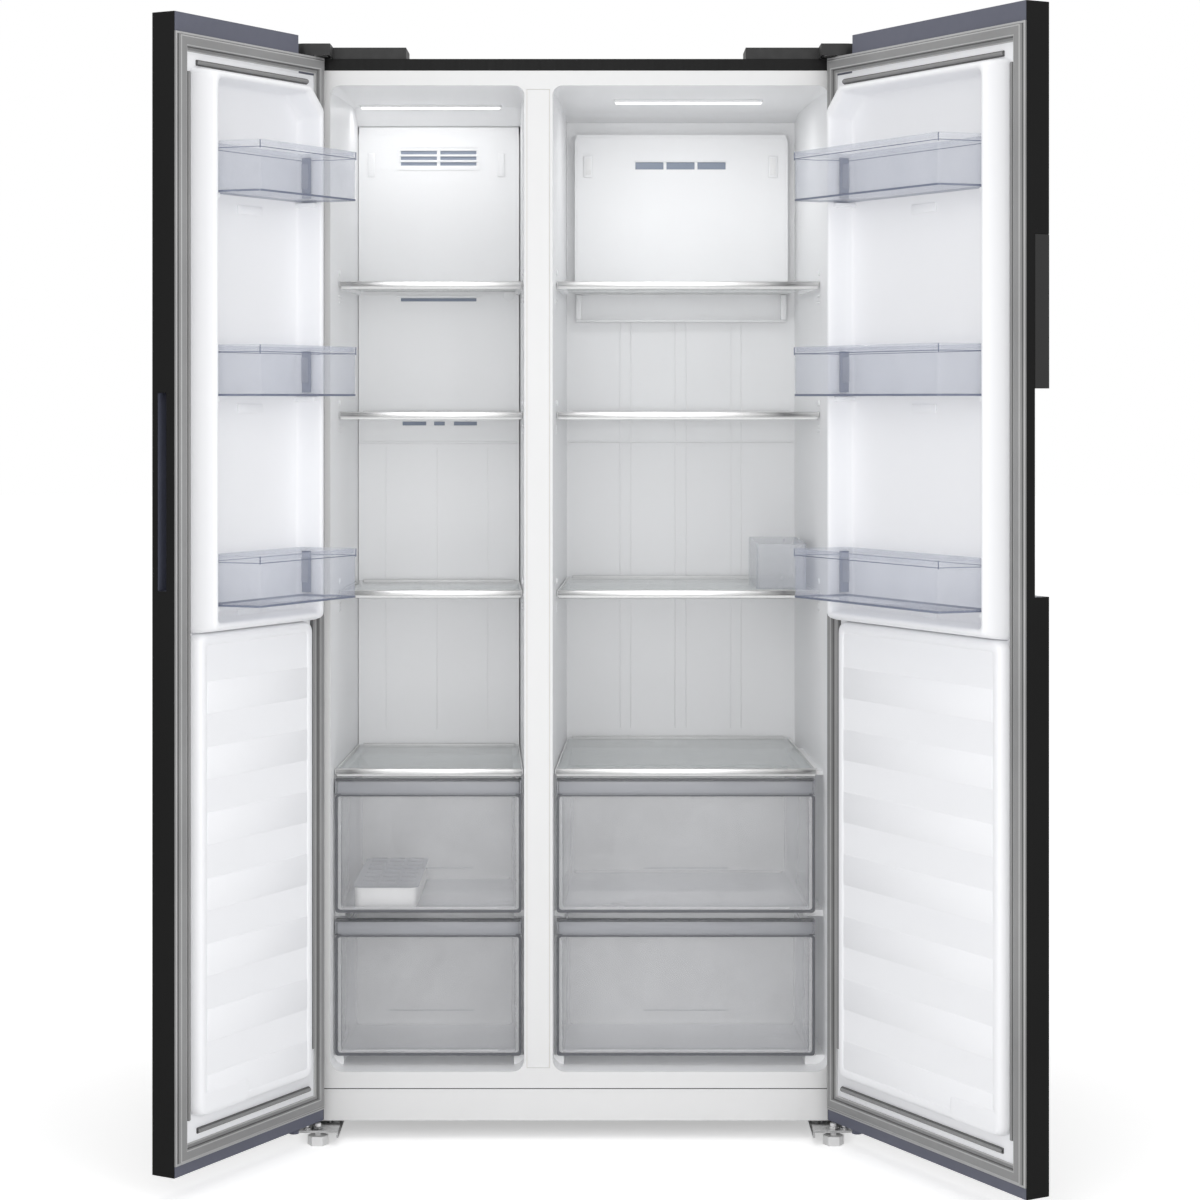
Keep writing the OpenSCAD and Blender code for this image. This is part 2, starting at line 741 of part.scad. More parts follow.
cabinet_shell();
back_panel();
base_tray();
front_frame();
freezer_liner();
fridge_liner();
foam_insulation();
mullion_strip();
kick_plate();
air_panels();
led_lamps();
control_box();
compressor();
condenser();
evaporator();
drain_pan();
compressor_cover();
hinge_covers();
door_hinges();
condenser_fan();
evaporator_fan();
foot_left();
foot_right();
rear_rollers();
for (i = [1:4]) freezer_shelf(i);
for (i = [1:4]) fridge_shelf(i);
for (i = [1:2]) {
    union() {
        drawer(freezer_drawer_x, freezer_lean, i, freezer_drawer_d[i - 1]);
    }
    drawer(crisper_x, fridge_lean, i, crisper_d[i - 1]);
    drawer_front(freezer_drawer_x, i);
    drawer_front(crisper_x, i);
}
for (i = [1:3]) freezer_bin(i);
for (i = [1:3]) fridge_bin(i);
ice_box();
ice_lid();
egg_tray();
freezer_door_skin();
freezer_door_trim();
freezer_door_core();
freezer_door_liner();
freezer_door_gasket();
fridge_door_skin();
fridge_door_trim();
fridge_door_core();
fridge_door_liner();
fridge_door_gasket();
display_module();
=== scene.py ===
"""Looks of the side-by-side refrigerator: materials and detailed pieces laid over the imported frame."""
import json
import math

import bmesh
import bpy
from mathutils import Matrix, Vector


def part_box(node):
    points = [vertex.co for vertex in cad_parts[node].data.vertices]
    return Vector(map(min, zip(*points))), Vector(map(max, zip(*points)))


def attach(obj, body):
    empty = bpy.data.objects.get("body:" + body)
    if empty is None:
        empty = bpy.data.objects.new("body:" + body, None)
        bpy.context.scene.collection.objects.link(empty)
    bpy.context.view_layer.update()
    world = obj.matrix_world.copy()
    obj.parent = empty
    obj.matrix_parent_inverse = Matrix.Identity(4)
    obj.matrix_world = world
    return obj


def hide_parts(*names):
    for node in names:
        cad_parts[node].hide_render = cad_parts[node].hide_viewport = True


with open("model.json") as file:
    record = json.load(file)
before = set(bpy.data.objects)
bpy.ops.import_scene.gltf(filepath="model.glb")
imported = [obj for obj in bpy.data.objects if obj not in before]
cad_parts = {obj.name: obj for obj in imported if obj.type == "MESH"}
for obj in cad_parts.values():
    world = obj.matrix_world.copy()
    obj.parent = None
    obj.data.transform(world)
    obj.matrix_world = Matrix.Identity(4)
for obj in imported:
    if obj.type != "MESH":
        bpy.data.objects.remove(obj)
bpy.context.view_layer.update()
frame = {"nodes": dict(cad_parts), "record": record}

MM = 0.001


# ---- Places ----

class Space:
    """Millimetres along a body's own directions, from its own corner, at rest."""

    def __init__(self, origin, x, y):
        self.origin, self.x, self.y = Vector(origin), Vector(x), Vector(y)

    def __call__(self, x, y, z):
        return self.origin + (self.x * x + self.y * y + Vector((0, 0, z))) * MM


shell_lo, shell_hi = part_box("cabinet_shell")
joint_of = {j["name"]: j for j in frame["record"]["behaviour"]["joints"]}
open_angle = math.radians(-joint_of["freezer_door_hinge"]["range_deg"][0])
turn_c, turn_s = math.cos(open_angle), math.sin(open_angle)
SKIN = 20.75

CAB = Space(((shell_lo[0] + shell_hi[0]) / 2, shell_lo[1], 0), (1, 0, 0), (0, 1, 0))
pivots = {}
for side in ("freezer", "fridge"):
    at = joint_of[side + "_door_hinge"]["pos_m"]
    pivots[side] = Vector((at[0], at[1], 0))
into_l, into_r = Vector((turn_s, turn_c, 0)), Vector((-turn_s, turn_c, 0))
across_l, across_r = Vector((turn_c, -turn_s, 0)), Vector((-turn_c, -turn_s, 0))
DOOR = {
    "freezer": Space(pivots["freezer"] + into_l * SKIN * MM, across_l, into_l),
    "fridge": Space(pivots["fridge"] + into_r * SKIN * MM, across_r, into_r),
}
DOOR_W = {"freezer": 389.0, "fridge": 517.0}
FREE = {k: w - 19.3 for k, w in DOOR_W.items()}
FREEZER_X, FREEZER_LEAN = (-400.0, -84.0), (12.7, 22.8)
FRIDGE_X, FRIDGE_LEAN = (-38.0, 411.0), (17.0, 19.0)
SHELF_TOP = (1403.0, 1185.0, 887.0, 597.0)
BIN_BASE = (1518.0, 1210.0, 892.0)


def wall_x(xs, leans, side, y):
    """Where a compartment's side wall stands at depth y."""
    return xs[side] + (1 if side == 0 else -1) * leans[side] * y / 505.0


# ---- Shaders ----

class Nodes:
    """A material's node tree, with a short way to add and join nodes."""

    def __init__(self, name):
        self.material = bpy.data.materials.new(name)
        self.material.use_nodes = True
        self.tree = self.material.node_tree
        self.shader = self.tree.nodes["Principled BSDF"]
        self.coords = self.add("ShaderNodeTexCoord").outputs["Object"]

    def add(self, kind, inputs=(), **settings):
        node = self.tree.nodes.new(kind)
        for key, value in settings.items():
            setattr(node, key, value)
        for key, value in dict(inputs).items():
            if isinstance(value, bpy.types.NodeSocket):
                self.tree.links.new(value, node.inputs[key])
            else:
                node.inputs[key].default_value = value
        return node

    def noise(self, scale, detail=3.0, stretch=(1, 1, 1), rough=0.55):
        place = self.add("ShaderNodeMapping", {"Vector": self.coords, "Scale": stretch})
        made = self.add("ShaderNodeTexNoise", {"Vector": place.outputs[0], "Scale": scale, "Detail": detail,
                                               "Roughness": rough})
        return made.outputs["Fac"]

    def span(self, value, low, high, from_low=0.3, from_high=0.7):
        made = self.add("ShaderNodeMapRange", {"Value": value, "From Min": from_low, "From Max": from_high,
                                               "To Min": low, "To Max": high})
        return made.outputs[0]

    def blend(self, fac, first, second):
        made = self.add("ShaderNodeMix", data_type="RGBA")
        for key, value in ((0, fac), (6, first), (7, second)):
            if isinstance(value, bpy.types.NodeSocket):
                self.tree.links.new(value, made.inputs[key])
            else:
                made.inputs[key].default_value = value
        return made.outputs[2]

    def axis(self, which):
        split = self.add("ShaderNodeSeparateXYZ", {"Vector": self.coords})
        return split.outputs[which]

    def bump(self, height, strength, distance):
        made = self.add("ShaderNodeBump", {"Height": height, "Strength": strength, "Distance": distance})
        self.tree.links.new(made.outputs[0], self.shader.inputs["Normal"])

    def feed(self, **inputs):
        for key, value in inputs.items():
            socket = self.shader.inputs[key.replace("_", " ")]
            if isinstance(value, bpy.types.NodeSocket):
                self.tree.links.new(value, socket)
            else:
                socket.default_value = value


def shade(level, tint=(1, 1, 1)):
    """A display value from 0 to 255 as linear colour."""
    c = level / 255.0
    linear = c / 12.92 if c <= 0.04045 else ((c + 0.055) / 1.055) ** 2.4
    return (linear * tint[0], linear * tint[1], linear * tint[2], 1.0)


def moulded(name, light, dark, rough, grain=900.0, depth=0.00006, coat=0.0):
    """Moulded plastic: faint mottled colour, uneven gloss and a fine surface grain."""
    n = Nodes(name)
    n.feed(Base_Color=n.blend(n.span(n.noise(5.0), 0, 1), dark, light),
           Roughness=n.span(n.noise(60.0), rough - 0.05, rough + 0.06), Coat_Weight=coat)
    n.shader.inputs["Coat Roughness"].default_value = 0.12
    n.bump(n.noise(grain, 2.0), 0.22, depth)
    return n.material


def coated(name, light, dark, rough, peel=260.0, spec=0.5):
    """Painted sheet: a slight orange peel, soft gloss changes and fine hairline wear."""
    n = Nodes(name)
    hair = n.noise(900.0, 2.0, (1, 1, 0.02))
    n.feed(Base_Color=n.blend(n.span(n.noise(3.0), 0, 1), dark, light),
           Roughness=n.span(hair, rough - 0.04, rough + 0.08, 0.35, 0.65), Specular_IOR_Level=spec)
    n.bump(n.noise(peel, 2.0), 0.12, 0.0001)
    return n.material


def metal(name, light, dark, rough, stretch, scale=700.0):
    """Bare metal with a brushed or rolled grain along one direction."""
    n = Nodes(name)
    grain = n.noise(scale, 3.0, stretch)
    n.feed(Base_Color=n.blend(n.span(grain, 0, 1, 0.25, 0.75), dark, light), Metallic=1.0,
           Roughness=n.span(grain, rough - 0.07, rough + 0.09))
    n.bump(grain, 0.12, 0.00006)
    return n.material


def clear(name, body, edge, cover, rough=0.08, haze=0.0, faces=0.0):
    """Clear moulding: tinted, seen through in proportion to how squarely it is looked at."""
    n = Nodes(name)
    rim = n.add("ShaderNodeLayerWeight", {"Blend": 0.35}).outputs["Facing"]
    patch = n.span(n.noise(14.0), -haze, haze)
    cover_at = n.add("ShaderNodeMath", {0: n.span(rim, cover, min(cover + 0.45, 1), 0.1, 0.95), 1: patch}, operation="ADD")
    n.feed(Base_Color=n.blend(n.span(rim, 0, 1, 0.1, 0.9), body, edge), Alpha=cover_at.outputs[0],
           Roughness=n.span(n.noise(45.0), rough, rough + 0.06))
    n.bump(n.noise(300.0, 1.0), 0.05, 0.00003)
    return n.material


M = {}
M["black_steel"] = coated("black_steel", shade(17), shade(12), 0.4, spec=0.15)
M["zinc_sheet"] = metal("zinc_sheet", shade(190), shade(165), 0.42, (1, 1, 1), 45.0)
M["white_frame"] = coated("white_frame", shade(231), shade(228), 0.34)
M["black_plastic"] = moulded("black_plastic", shade(36), shade(27), 0.55, 1400.0)
M["door_trim"] = moulded("door_trim", (0.104, 0.110, 0.150, 1), (0.092, 0.098, 0.135, 1), 0.38)
M["compressor_black"] = coated("compressor_black", shade(40), shade(28), 0.28, 180.0)
M["aluminium_fins"] = metal("aluminium_fins", shade(222), shade(196), 0.3, (1, 0.05, 1))
M["grey_plastic"] = moulded("grey_plastic", shade(150), shade(138), 0.5)
M["steel_bracket"] = metal("steel_bracket", shade(214), shade(176), 0.26, (0.1, 1, 1), 500.0)
M["foot_plastic"] = moulded("foot_plastic", shade(236), shade(226), 0.45)
M["roller_plastic"] = moulded("roller_plastic", shade(70), shade(55), 0.6)
M["foam"] = moulded("foam", shade(222, (1, 0.93, 0.72)), shade(205, (1, 0.9, 0.66)), 0.85, 300.0, 0.0004)
M["gasket_grey"] = moulded("gasket_grey", shade(144), shade(134), 0.5, 1200.0)
# Lighter and darker copies of the same grey gasket rubber: painted highlight and painted shade.
M["gasket_painted_highlight"] = moulded("gasket_painted_highlight", shade(184), shade(172), 0.45, 1200.0)
M["gasket_painted_shade"] = moulded("gasket_painted_shade", shade(96), shade(84), 0.55, 1200.0)
M["ice_white"] = moulded("ice_white", shade(240), shade(234), 0.35, coat=0.2)
M["white_lip"] = moulded("white_lip", shade(246), shade(240), 0.3)
M["grille_grey"] = moulded("grille_grey", (0.30, 0.34, 0.42, 1), (0.24, 0.28, 0.36, 1), 0.5)
M["screw_steel"] = metal("screw_steel", shade(205), shade(150), 0.3, (1, 1, 1), 400.0)
M["slot_black"] = moulded("slot_black", shade(14), shade(8), 0.4)


def liner_white(name, light, dark):
    """Vacuum-formed liner plastic: soft gloss and a faint, broad mottle between two near whites."""
    n = Nodes(name)
    n.feed(Base_Color=n.blend(n.span(n.noise(1.6, 1.0), 0, 1), dark, light),
           Roughness=n.span(n.noise(20.0), 0.36, 0.42))
    n.bump(n.noise(700.0, 1.0), 0.06, 0.00002)
    return n.material


M["white_plastic"] = liner_white("white_plastic", (0.925, 0.93, 0.938, 1), (0.917, 0.922, 0.932, 1))
M["door_liner_white"] = liner_white("door_liner_white", (0.925, 0.93, 0.95, 1), (0.912, 0.918, 0.94, 1))

lamp = Nodes("lamp")
lamp.feed(Base_Color=lamp.blend(lamp.span(lamp.noise(70.0), 0, 1), shade(244), shade(252)), Roughness=0.35,
          Emission_Color=(1, 0.99, 0.97, 1), Emission_Strength=lamp.span(lamp.noise(25.0), 1.6, 2.0))
lamp.bump(lamp.noise(500.0), 0.1, 0.0001)
M["lamp"] = lamp.material

gloss = Nodes("black_glass")
gloss.feed(Base_Color=gloss.blend(gloss.span(gloss.noise(8.0), 0, 1), shade(3), shade(9)),
           Roughness=gloss.span(gloss.noise(60.0), 0.05, 0.11))
gloss.bump(gloss.noise(4.0, 1.0), 0.04, 0.001)
M["black_glass"] = gloss.material


def bar_with_painted_reflection(name, reflection_stops, lo, hi):
    """Bright rolled bar with a grain along its length; its tone from x lo to x hi is painted reflection, bright and
    dark stretches set by the stops.
    """
    n = Nodes(name)
    along = n.span(n.axis(0), 0, 1, lo, hi)
    # The ramp paints reflection along the bar: the lighter and darker stretches stand in for what the steel mirrors of
    # its surroundings.
    ramp = n.add("ShaderNodeValToRGB", {"Fac": along})
    points = ramp.color_ramp.elements
    while len(points) < len(reflection_stops):
        points.new(0.5)
    for point, (where, level) in zip(points, reflection_stops):
        point.position = where
        point.color = shade(level)
    grain = n.noise(900.0, 3.0, (0.02, 1, 1))
    n.feed(Base_Color=n.blend(n.span(grain, 0, 0.25), ramp.outputs[0], shade(250)), Metallic=1.0,
           Roughness=n.span(grain, 0.22, 0.38))
    n.bump(grain, 0.1, 0.00004)
    return n.material


M["shelf_glass"] = clear("shelf_glass", (0.88, 0.90, 0.91, 1), (0.66, 0.72, 0.72, 1), 0.04, 0.03)
M["bin_smoke"] = clear("bin_smoke", (0.62, 0.65, 0.73, 1), (0.30, 0.33, 0.44, 1), 0.18, 0.06, 0.03)
M["bin_rim"] = clear("bin_rim", (0.22, 0.25, 0.34, 1), (0.07, 0.08, 0.13, 1), 0.62, 0.1, 0.05)
M["drawer_clear"] = clear("drawer_clear", (0.90, 0.905, 0.925, 1), (0.74, 0.755, 0.80, 1), 0.24, 0.1, 0.03)
M["drawer_front"] = clear("drawer_front", (0.86, 0.87, 0.90, 1), (0.60, 0.62, 0.67, 1), 0.06, 0.08, 0.02)
M["drawer_band"] = clear("drawer_band", (0.42, 0.43, 0.46, 1), (0.30, 0.31, 0.34, 1), 0.72, 0.15, 0.02)
M["drawer_edge"] = clear("drawer_edge", (0.14, 0.145, 0.16, 1), (0.08, 0.085, 0.10, 1), 0.78, 0.12, 0.02)
M["ice_clear"] = clear("ice_clear", (0.80, 0.82, 0.86, 1), (0.60, 0.63, 0.70, 1), 0.28, 0.08, 0.03)


# ---- Building pieces ----

def rounded(points, radius, steps=4):
    """A closed outline with each corner turned into an arc; radius is one number or one per corner."""
    out = []
    count = len(points)
    for i, here in enumerate(points):
        r = radius if isinstance(radius, (int, float)) else radius[i]
        p = Vector(here)
        a, b = (Vector(points[i - 1]) - p), (Vector(points[(i + 1) % count]) - p)
        if r <= 0 or a.length < 1e-6 or b.length < 1e-6:
            out.append(tuple(p))
            continue
        half = a.angle(b) / 2
        cut = min(r / max(math.tan(half), 1e-3), a.length * 0.49, b.length * 0.49)
        start, end = p + a.normalized() * cut, p + b.normalized() * cut
        for k in range(steps + 1):
            t = k / steps
            out.append(tuple(start * (1 - t) ** 2 + p * 2 * t * (1 - t) + end * t ** 2))
    return out


class Piece:
    """Collects solids in millimetres of one space and makes one object that rides on a body."""

    def __init__(self, name, body, space, slot, also=(), replaces=()):
        self.name, self.body, self.space, self.slot, self.replaces = name, body, space, slot, replaces
        self.materials = [M[slot]] + [M[m] for m in also]
        self.bm = bmesh.new()

    def _solid(self, rings, mat, caps=True):
        loops = [[self.bm.verts.new(self.space(*p)) for p in ring] for ring in rings]
        made = []
        count = len(loops[0])
        for low, high in zip(loops, loops[1:]):
            for i in range(count):
                j = (i + 1) % count
                made.append(self.bm.faces.new((low[i], low[j], high[j], high[i])))
        if caps:
            made.append(self.bm.faces.new(loops[0][::-1]))
            if caps != "low":
                made.append(self.bm.faces.new(loops[-1]))
        for face in made:
            face.material_index = mat
            face.smooth = True
        bmesh.ops.recalc_face_normals(self.bm, faces=made)
        return made

    def block(self, a, b, r=0.0, mat=0, steps=2):
        lo, hi = [min(p, q) for p, q in zip(a, b)], [max(p, q) for p, q in zip(a, b)]
        ring = [(lo[0], lo[1]), (hi[0], lo[1]), (hi[0], hi[1]), (lo[0], hi[1])]
        made = self._solid([[(x, y, z) for x, y in ring] for z in (lo[2], hi[2])], mat)
        self._round(made, r, steps)

    def _round(self, faces, r, steps):
        if r > 0:
            edges = list({e for f in faces for e in f.edges})
            done = bmesh.ops.bevel(self.bm, geom=edges, offset=r * MM, segments=steps, affect="EDGES",
                                   profile=0.5, clamp_overlap=True)
            for f in done["faces"]:
                f.smooth = True

    def prism(self, outline, lo, hi, axis="z", mat=0, r=0.0):
        """An outline in the plane across an axis, drawn along it; the outline's pair keeps x, y, z order."""
        def at(p, q, w):
            return {"z": (p, q, w), "y": (p, w, q), "x": (w, p, q)}[axis]
        made = self._solid([[at(p, q, w) for p, q in outline] for w in (lo, hi)], mat)
        if r > 0:
            caps = made[-2:]
            edges = list({e for f in caps for e in f.edges})
            for f in bmesh.ops.bevel(self.bm, geom=edges, offset=r * MM, segments=2, affect="EDGES",
                                     profile=0.5, clamp_overlap=True)["faces"]:
                f.smooth = True

    def loft(self, rings, mat=0, caps=True):
        self._solid(rings, mat, caps)

    def pane(self, outline, y, mat=0):
        """A thin clear pane across the y direction, facing the front."""
        face = self.bm.faces.new([self.bm.verts.new(self.space(p, y, q)) for p, q in outline])
        face.material_index, face.smooth = mat, True
        if face.normal.dot(self.space.y) > 0:
            face.normal_flip()

    def rod(self, a, b, r, sides=20, mat=0, chamfer=0.0):
        a, b = Vector(a), Vector(b)
        along = (b - a).normalized()
        side = along.orthogonal().normalized()
        up = along.cross(side)
        stations = [(0, r), (1, r)]
        length = (b - a).length
        if chamfer:
            stations = [(0, r - chamfer), (chamfer / length, r), (1 - chamfer / length, r), (1, r - chamfer)]
        rings = []
        for t, radius in stations:
            centre = a + (b - a) * t
            rings.append([tuple(centre + (side * math.cos(u) + up * math.sin(u)) * radius)
                          for u in (2 * math.pi * k / sides for k in range(sides))])
        self._solid(rings, mat)

    def frame(self, outer, inner, lo, hi, axis="z", mat=0):
        """A ring between two outlines with the same number of points, drawn along an axis."""
        def at(p, q, w):
            return {"z": (p, q, w), "y": (p, w, q), "x": (w, p, q)}[axis]
        loops = [[self.bm.verts.new(self.space(*at(p, q, w))) for p, q in line]
                 for line, w in ((outer, lo), (outer, hi), (inner, hi), (inner, lo))]
        made = []
        count = len(outer)
        for k in range(4):
            first, second = loops[k], loops[(k + 1) % 4]
            for i in range(count):
                j = (i + 1) % count
                made.append(self.bm.faces.new((first[i], first[j], second[j], second[i])))
        for face in made:
            face.material_index = mat
            face.smooth = True
        bmesh.ops.recalc_face_normals(self.bm, faces=made)

    def done(self, sharp=34.0):
        data = bpy.data.meshes.new(self.name)
        self.bm.to_mesh(data)
        self.bm.free()
        for m in self.materials:
            data.materials.append(m)
        data.set_sharp_from_angle(angle=math.radians(sharp))
        made = bpy.data.objects.new(self.name, data)
        bpy.context.scene.collection.objects.link(made)
        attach(made, self.body)
        if self.replaces:
            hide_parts(*self.replaces)
        return made


# ---- CAD nodes that show as they are ----

node_slots = {s["node"]: s["material_slot"] for s in frame["record"]["subparts"]}
for node_name, node in frame["nodes"].items():
    node.data.materials.clear()
    node.data.materials.append(M[node_slots[node_name]])


def soften(node_name, width, segments=2):
    """Rounds a CAD node's edges for show."""
    node = frame["nodes"][node_name]
    weld = node.modifiers.new("weld", "WELD")
    weld.merge_threshold = 0.00002
    bevel = node.modifiers.new("bevel", "BEVEL")
    bevel.width, bevel.segments, bevel.limit_method = width * MM, segments, "ANGLE"
    bevel.angle_limit = math.radians(40)
    bevel.harden_normals = True


for node_name, width in (("freezer_door_skin", 0.5), ("fridge_door_skin", 0.5), ("cabinet_shell", 0.6),
                         ("hinge_covers", 1.0), ("display_module", 0.4), ("door_hinges", 0.6),
                         ("kick_plate", 0.5), ("egg_tray", 0.6), ("ice_box", 0.7), ("control_box", 1.0),
                         ("drain_pan", 0.6), ("freezer_door_trim", 0.5), ("fridge_door_trim", 0.5)):
    soften(node_name, width)


# ---- Outlines ----

def inset(points, d):
    """A closed outline moved inwards by d; the outline runs counter-clockwise."""
    out = []
    count = len(points)
    area = sum(points[i - 1][0] * points[i][1] - points[i][0] * points[i - 1][1] for i in range(count))
    turn = 1 if area > 0 else -1
    for i in range(count):
        a, b, c = Vector(points[i - 1]), Vector(points[i]), Vector(points[(i + 1) % count])
        first, second = (b - a).normalized(), (c - b).normalized()
        n1, n2 = Vector((-first.y, first.x)) * turn, Vector((-second.y, second.x)) * turn
        mid = (n1 + n2).normalized()
        out.append(tuple(b + mid * d / max(mid.dot(n1), 0.3)))
    return out


def rect(x0, x1, z0, z1, r, steps=5):
    return rounded([(x0, z0), (x1, z0), (x1, z1), (x0, z1)], r, steps)


# ---- Doors ----

def gasket_height(u):
    """The most a gasket may stand up at u, so that its hinge side clears the cabinet."""
    reach = ((-19, 0), (-18, 2), (-10, 6.3), (-2, 8.2), (4, 8.8), (600, 8.8))
    for (u0, h0), (u1, h1) in zip(reach, reach[1:]):
        if u <= u1:
            return h0 + (h1 - h0) * max(u - u0, 0) / (u1 - u0)
    return 8.8


def door_gasket(side):
    """Mitred ring of bellows profile, with the retaining ribs inside it. A lighter copy of the grey rubber on the
    crests is painted highlight; a darker copy in the folds and on the lower ribs is painted shade.
    """
    edge = FREE[side]
    p = Piece(side + "_gasket", side + "_door", DOOR[side], "gasket_grey", ("gasket_painted_highlight", "gasket_painted_shade"),
              (side + "_door_gasket",))
    # The third number picks the copy for each facet: 1 is painted highlight on the crests, 2 is painted shade in the
    # folds.
    profile = [(0, 0.05, 0), (0, 2.6, 1), (1.8, 3.4, 1), (3.4, 3.0, 2), (4.4, 5.2, 0), (5.4, 8.2, 1), (7.2, 8.8, 0),
               (13, 8.3, 0), (19, 8.8, 1), (20.6, 8.2, 0), (21.4, 5.0, 2), (22.4, 3.2, 0), (26.6, 2.8, 1), (28, 1.8, 1),
               (28, 0.05, 0)]
    loops = []
    for w, h, _ in profile:
        u0, u1, z0, z1 = -18.5 + w, edge - 0.6 - w, 55.1 + w, 1757.9 - w
        ring = [(u0, z0), (u1, z0), (u1, z1), (u0, z1)]
        loops.append([p.bm.verts.new(p.space(u, min(h, gasket_height(u)), z)) for u, z in ring])
    made = []
    for k, (a, b) in enumerate(zip(loops, loops[1:] + loops[:1])):
        for i in range(4):
            j = (i + 1) % 4
            face = p.bm.faces.new((a[i], a[j], b[j], b[i]))
            face.material_index = profile[k][2]
            face.smooth = True
            made.append(face)
    bmesh.ops.recalc_face_normals(p.bm, faces=made)
    for a, b, mat in (((30, 3, 1715), (edge - 52, 3, 1715), 0), ((24, 3, 97), (edge - 54, 3, 97), 0),
                      ((15, 2.6, 160), (15, 2.6, 1695), 0), ((edge - 31, 3, 118), (edge - 31, 3, 1700), 0)):
        p.rod(a, b, 3.2, 10, mat, 1.0)
        lower = [(q[0], 0.8, q[2]) for q in (a, b)]
        # The lower ribs take the darker copy: painted shade at the gasket's base.
        p.rod(lower[0], lower[1], 4.6, 8, 2, 0.8)
    p.done(40)


def door_liner(side):
    """Vacuum-formed inner door: rimmed tray for the bins above, shallow banded panel below."""
    edge = FREE[side]
    p = Piece(side + "_liner_panel", side + "_door", DOOR[side], "white_plastic", ("door_liner_white",),
              (side + "_door_liner",))
    p.materials[0] = M["door_liner_white"]
    p.block((-17.9, -1.9, 57.8), (edge - 1.5, -0.05, 1727), 0.4)
    p.block((50.4, -1.9, 1726), (edge - 1.5, -0.05, 1757.2), 0.4)

    def tray(o, v, c=29.0):
        u0, u1, z0, z1 = 37 + o, edge - 34 - o, 851 + o, 1707 - o
        cut = c + o * 0.42
        corners = [(u0, z0), (u1, z0), (u1, z1), (u0 + cut, z1), (u0, z1 - cut)]
        return [(u, v, z) for u, z in rounded(corners, (10, 10, 14, 12, 12), 5)]

    sides = ((0, -1), (0.4, 6), (1.2, 14), (3.2, 30), (6.2, 41), (8.2, 44.6), (10.4, 45.9), (13.4, 45.9), (15.4, 44.6),
             (16.8, 41), (17.8, 30), (18.4, 14), (19, 5), (20.2, 2.6), (23, 1.2), (27, 0.8))
    p.loft([tray(o, v) for o, v in sides])
    for z in BIN_BASE:
        for u in (50, edge - 64):
            p.block((u, 0.5, z - 8), (u + 13, 38, z - 0.4), 1.6)
        p.block((edge * 0.5 - 34, 0.5, z - 26), (edge * 0.5 + 30, 3.0, z - 12), 1.2)
    steps = ((0, -1), (0.3, 8), (1.4, 15), (3.6, 19.6), (7, 21.8), (16, 21.9), (17.4, 21.3), (18.4, 20.4))
    p.loft([[(u, v, z) for u, z in rect(38 + o, edge - 34 - o, 121 + o, 852 - o, 20 - o * 0.7, 6)] for o, v in steps])
    lip = ((0, 18), (1, 20.6), (4, 21.9), (8, 22.0))
    p.loft([[(u, v, z) for u, z in rect(edge - 160 + o, edge - 40 - o, 124 + o, 162 - o, 14 - o, 6)] for o, v in lip])
    for k in range(7):
        top = 778.5 - 99.2 * k
        p.block((56.5, 19.8, top - 48.5), (edge - 55, 21.2, top), 1.0)
    p.done(38)


def door_bin(side, i):
    """Smoke-tinted bin: folded front with a flared rim, dark moulded foot line and hooked ends."""
    b = 303.0 if side == "freezer" else 431.0
    z = BIN_BASE[i]
    name = f"{side}_bin_{i + 1}"
    p = Piece(name + "_tray", name, DOOR[side], "bin_smoke", ("bin_rim",), (name,))
    plan = [(57, 12), (57, 55), (48, 60), (48, 110), (b, 110), (b + 8, 45), (b + 9, 12)]
    radii = (2, 1, 1, 4, 6, 6, 2)

    def level(o, h, r=1.0):
        return [(u, v, z + h) for u, v in rounded(inset(plan, o), [q * r for q in radii], 3)]

    wall = [level(3.2, 0.2), level(1.6, 0.6), level(1.2, 3.0), level(1.0, 62), level(0.7, 65.5), level(0.2, 67.4),
            level(0.2, 77.3), level(0.7, 77.9), level(1.7, 77.9), level(2.2, 77.2), level(2.4, 70)]
    p.loft(wall, caps="low")
    p.frame([q[:2] for q in level(0.35, 0)], [q[:2] for q in level(2.6, 0)], z + 0.3, z + 3.4, "z", 1)
    p.frame([q[:2] for q in level(0.05, 0)], [q[:2] for q in level(0.8, 0)], z + 66.4, z + 67.6, "z", 1)
    for u, v in ((48.8, 109.0), (b - 1.4, 108.6)):
        p.rod((u, v, z + 65), (u, v, z + 77.6), 0.9, 8, 1)
    for h in (20, 40, 58):
        p.block((b + 5.6, 12.6, z + h), (b + 7.6, 15.2, z + h + 6), 0.5, 1)
    p.block((b + 6.6, 12.4, z + 1), (b + 8.4, 14.4, z + 76), 0.6, 1)
    p.block((58.2, 12.6, z + 6), (60.4, 30, z + 72), 0.6, 1)
    p.block((61, 13, z + 22), (63, 26, z + 62), 0.5, 0)
    p.done(30)


def door_details(side):
    """Seam lines on the caps, pin washers and cap screws."""
    edge = FREE[side]
    p = Piece(side + "_cap_details", side + "_door", DOOR[side], "door_trim", ("slot_black", "screw_steel"))
    for z0, z1 in ((1757.7, 1787.2), (37.8, 57.4)):
        p.block((84, -0.6, z0), (84.9, 0.0 - 0.02, z1), 0, 1)
        p.block((edge - 46, -0.6, z0), (edge - 45.2, -0.02, z1), 0, 1)
    for u in (112, edge - 90):
        p.rod((u, -20.75, 38.2), (u, -20.75, 37.55), 4.2, 20, 2, 0.2)
        p.rod((u, -20.75, 1786.9), (u, -20.75, 1787.45), 4.2, 20, 2, 0.2)
    p.done()


for side in ("freezer", "fridge"):
    door_gasket(side)
    door_liner(side)
    door_details(side)
    for i in range(3):
        door_bin(side, i)
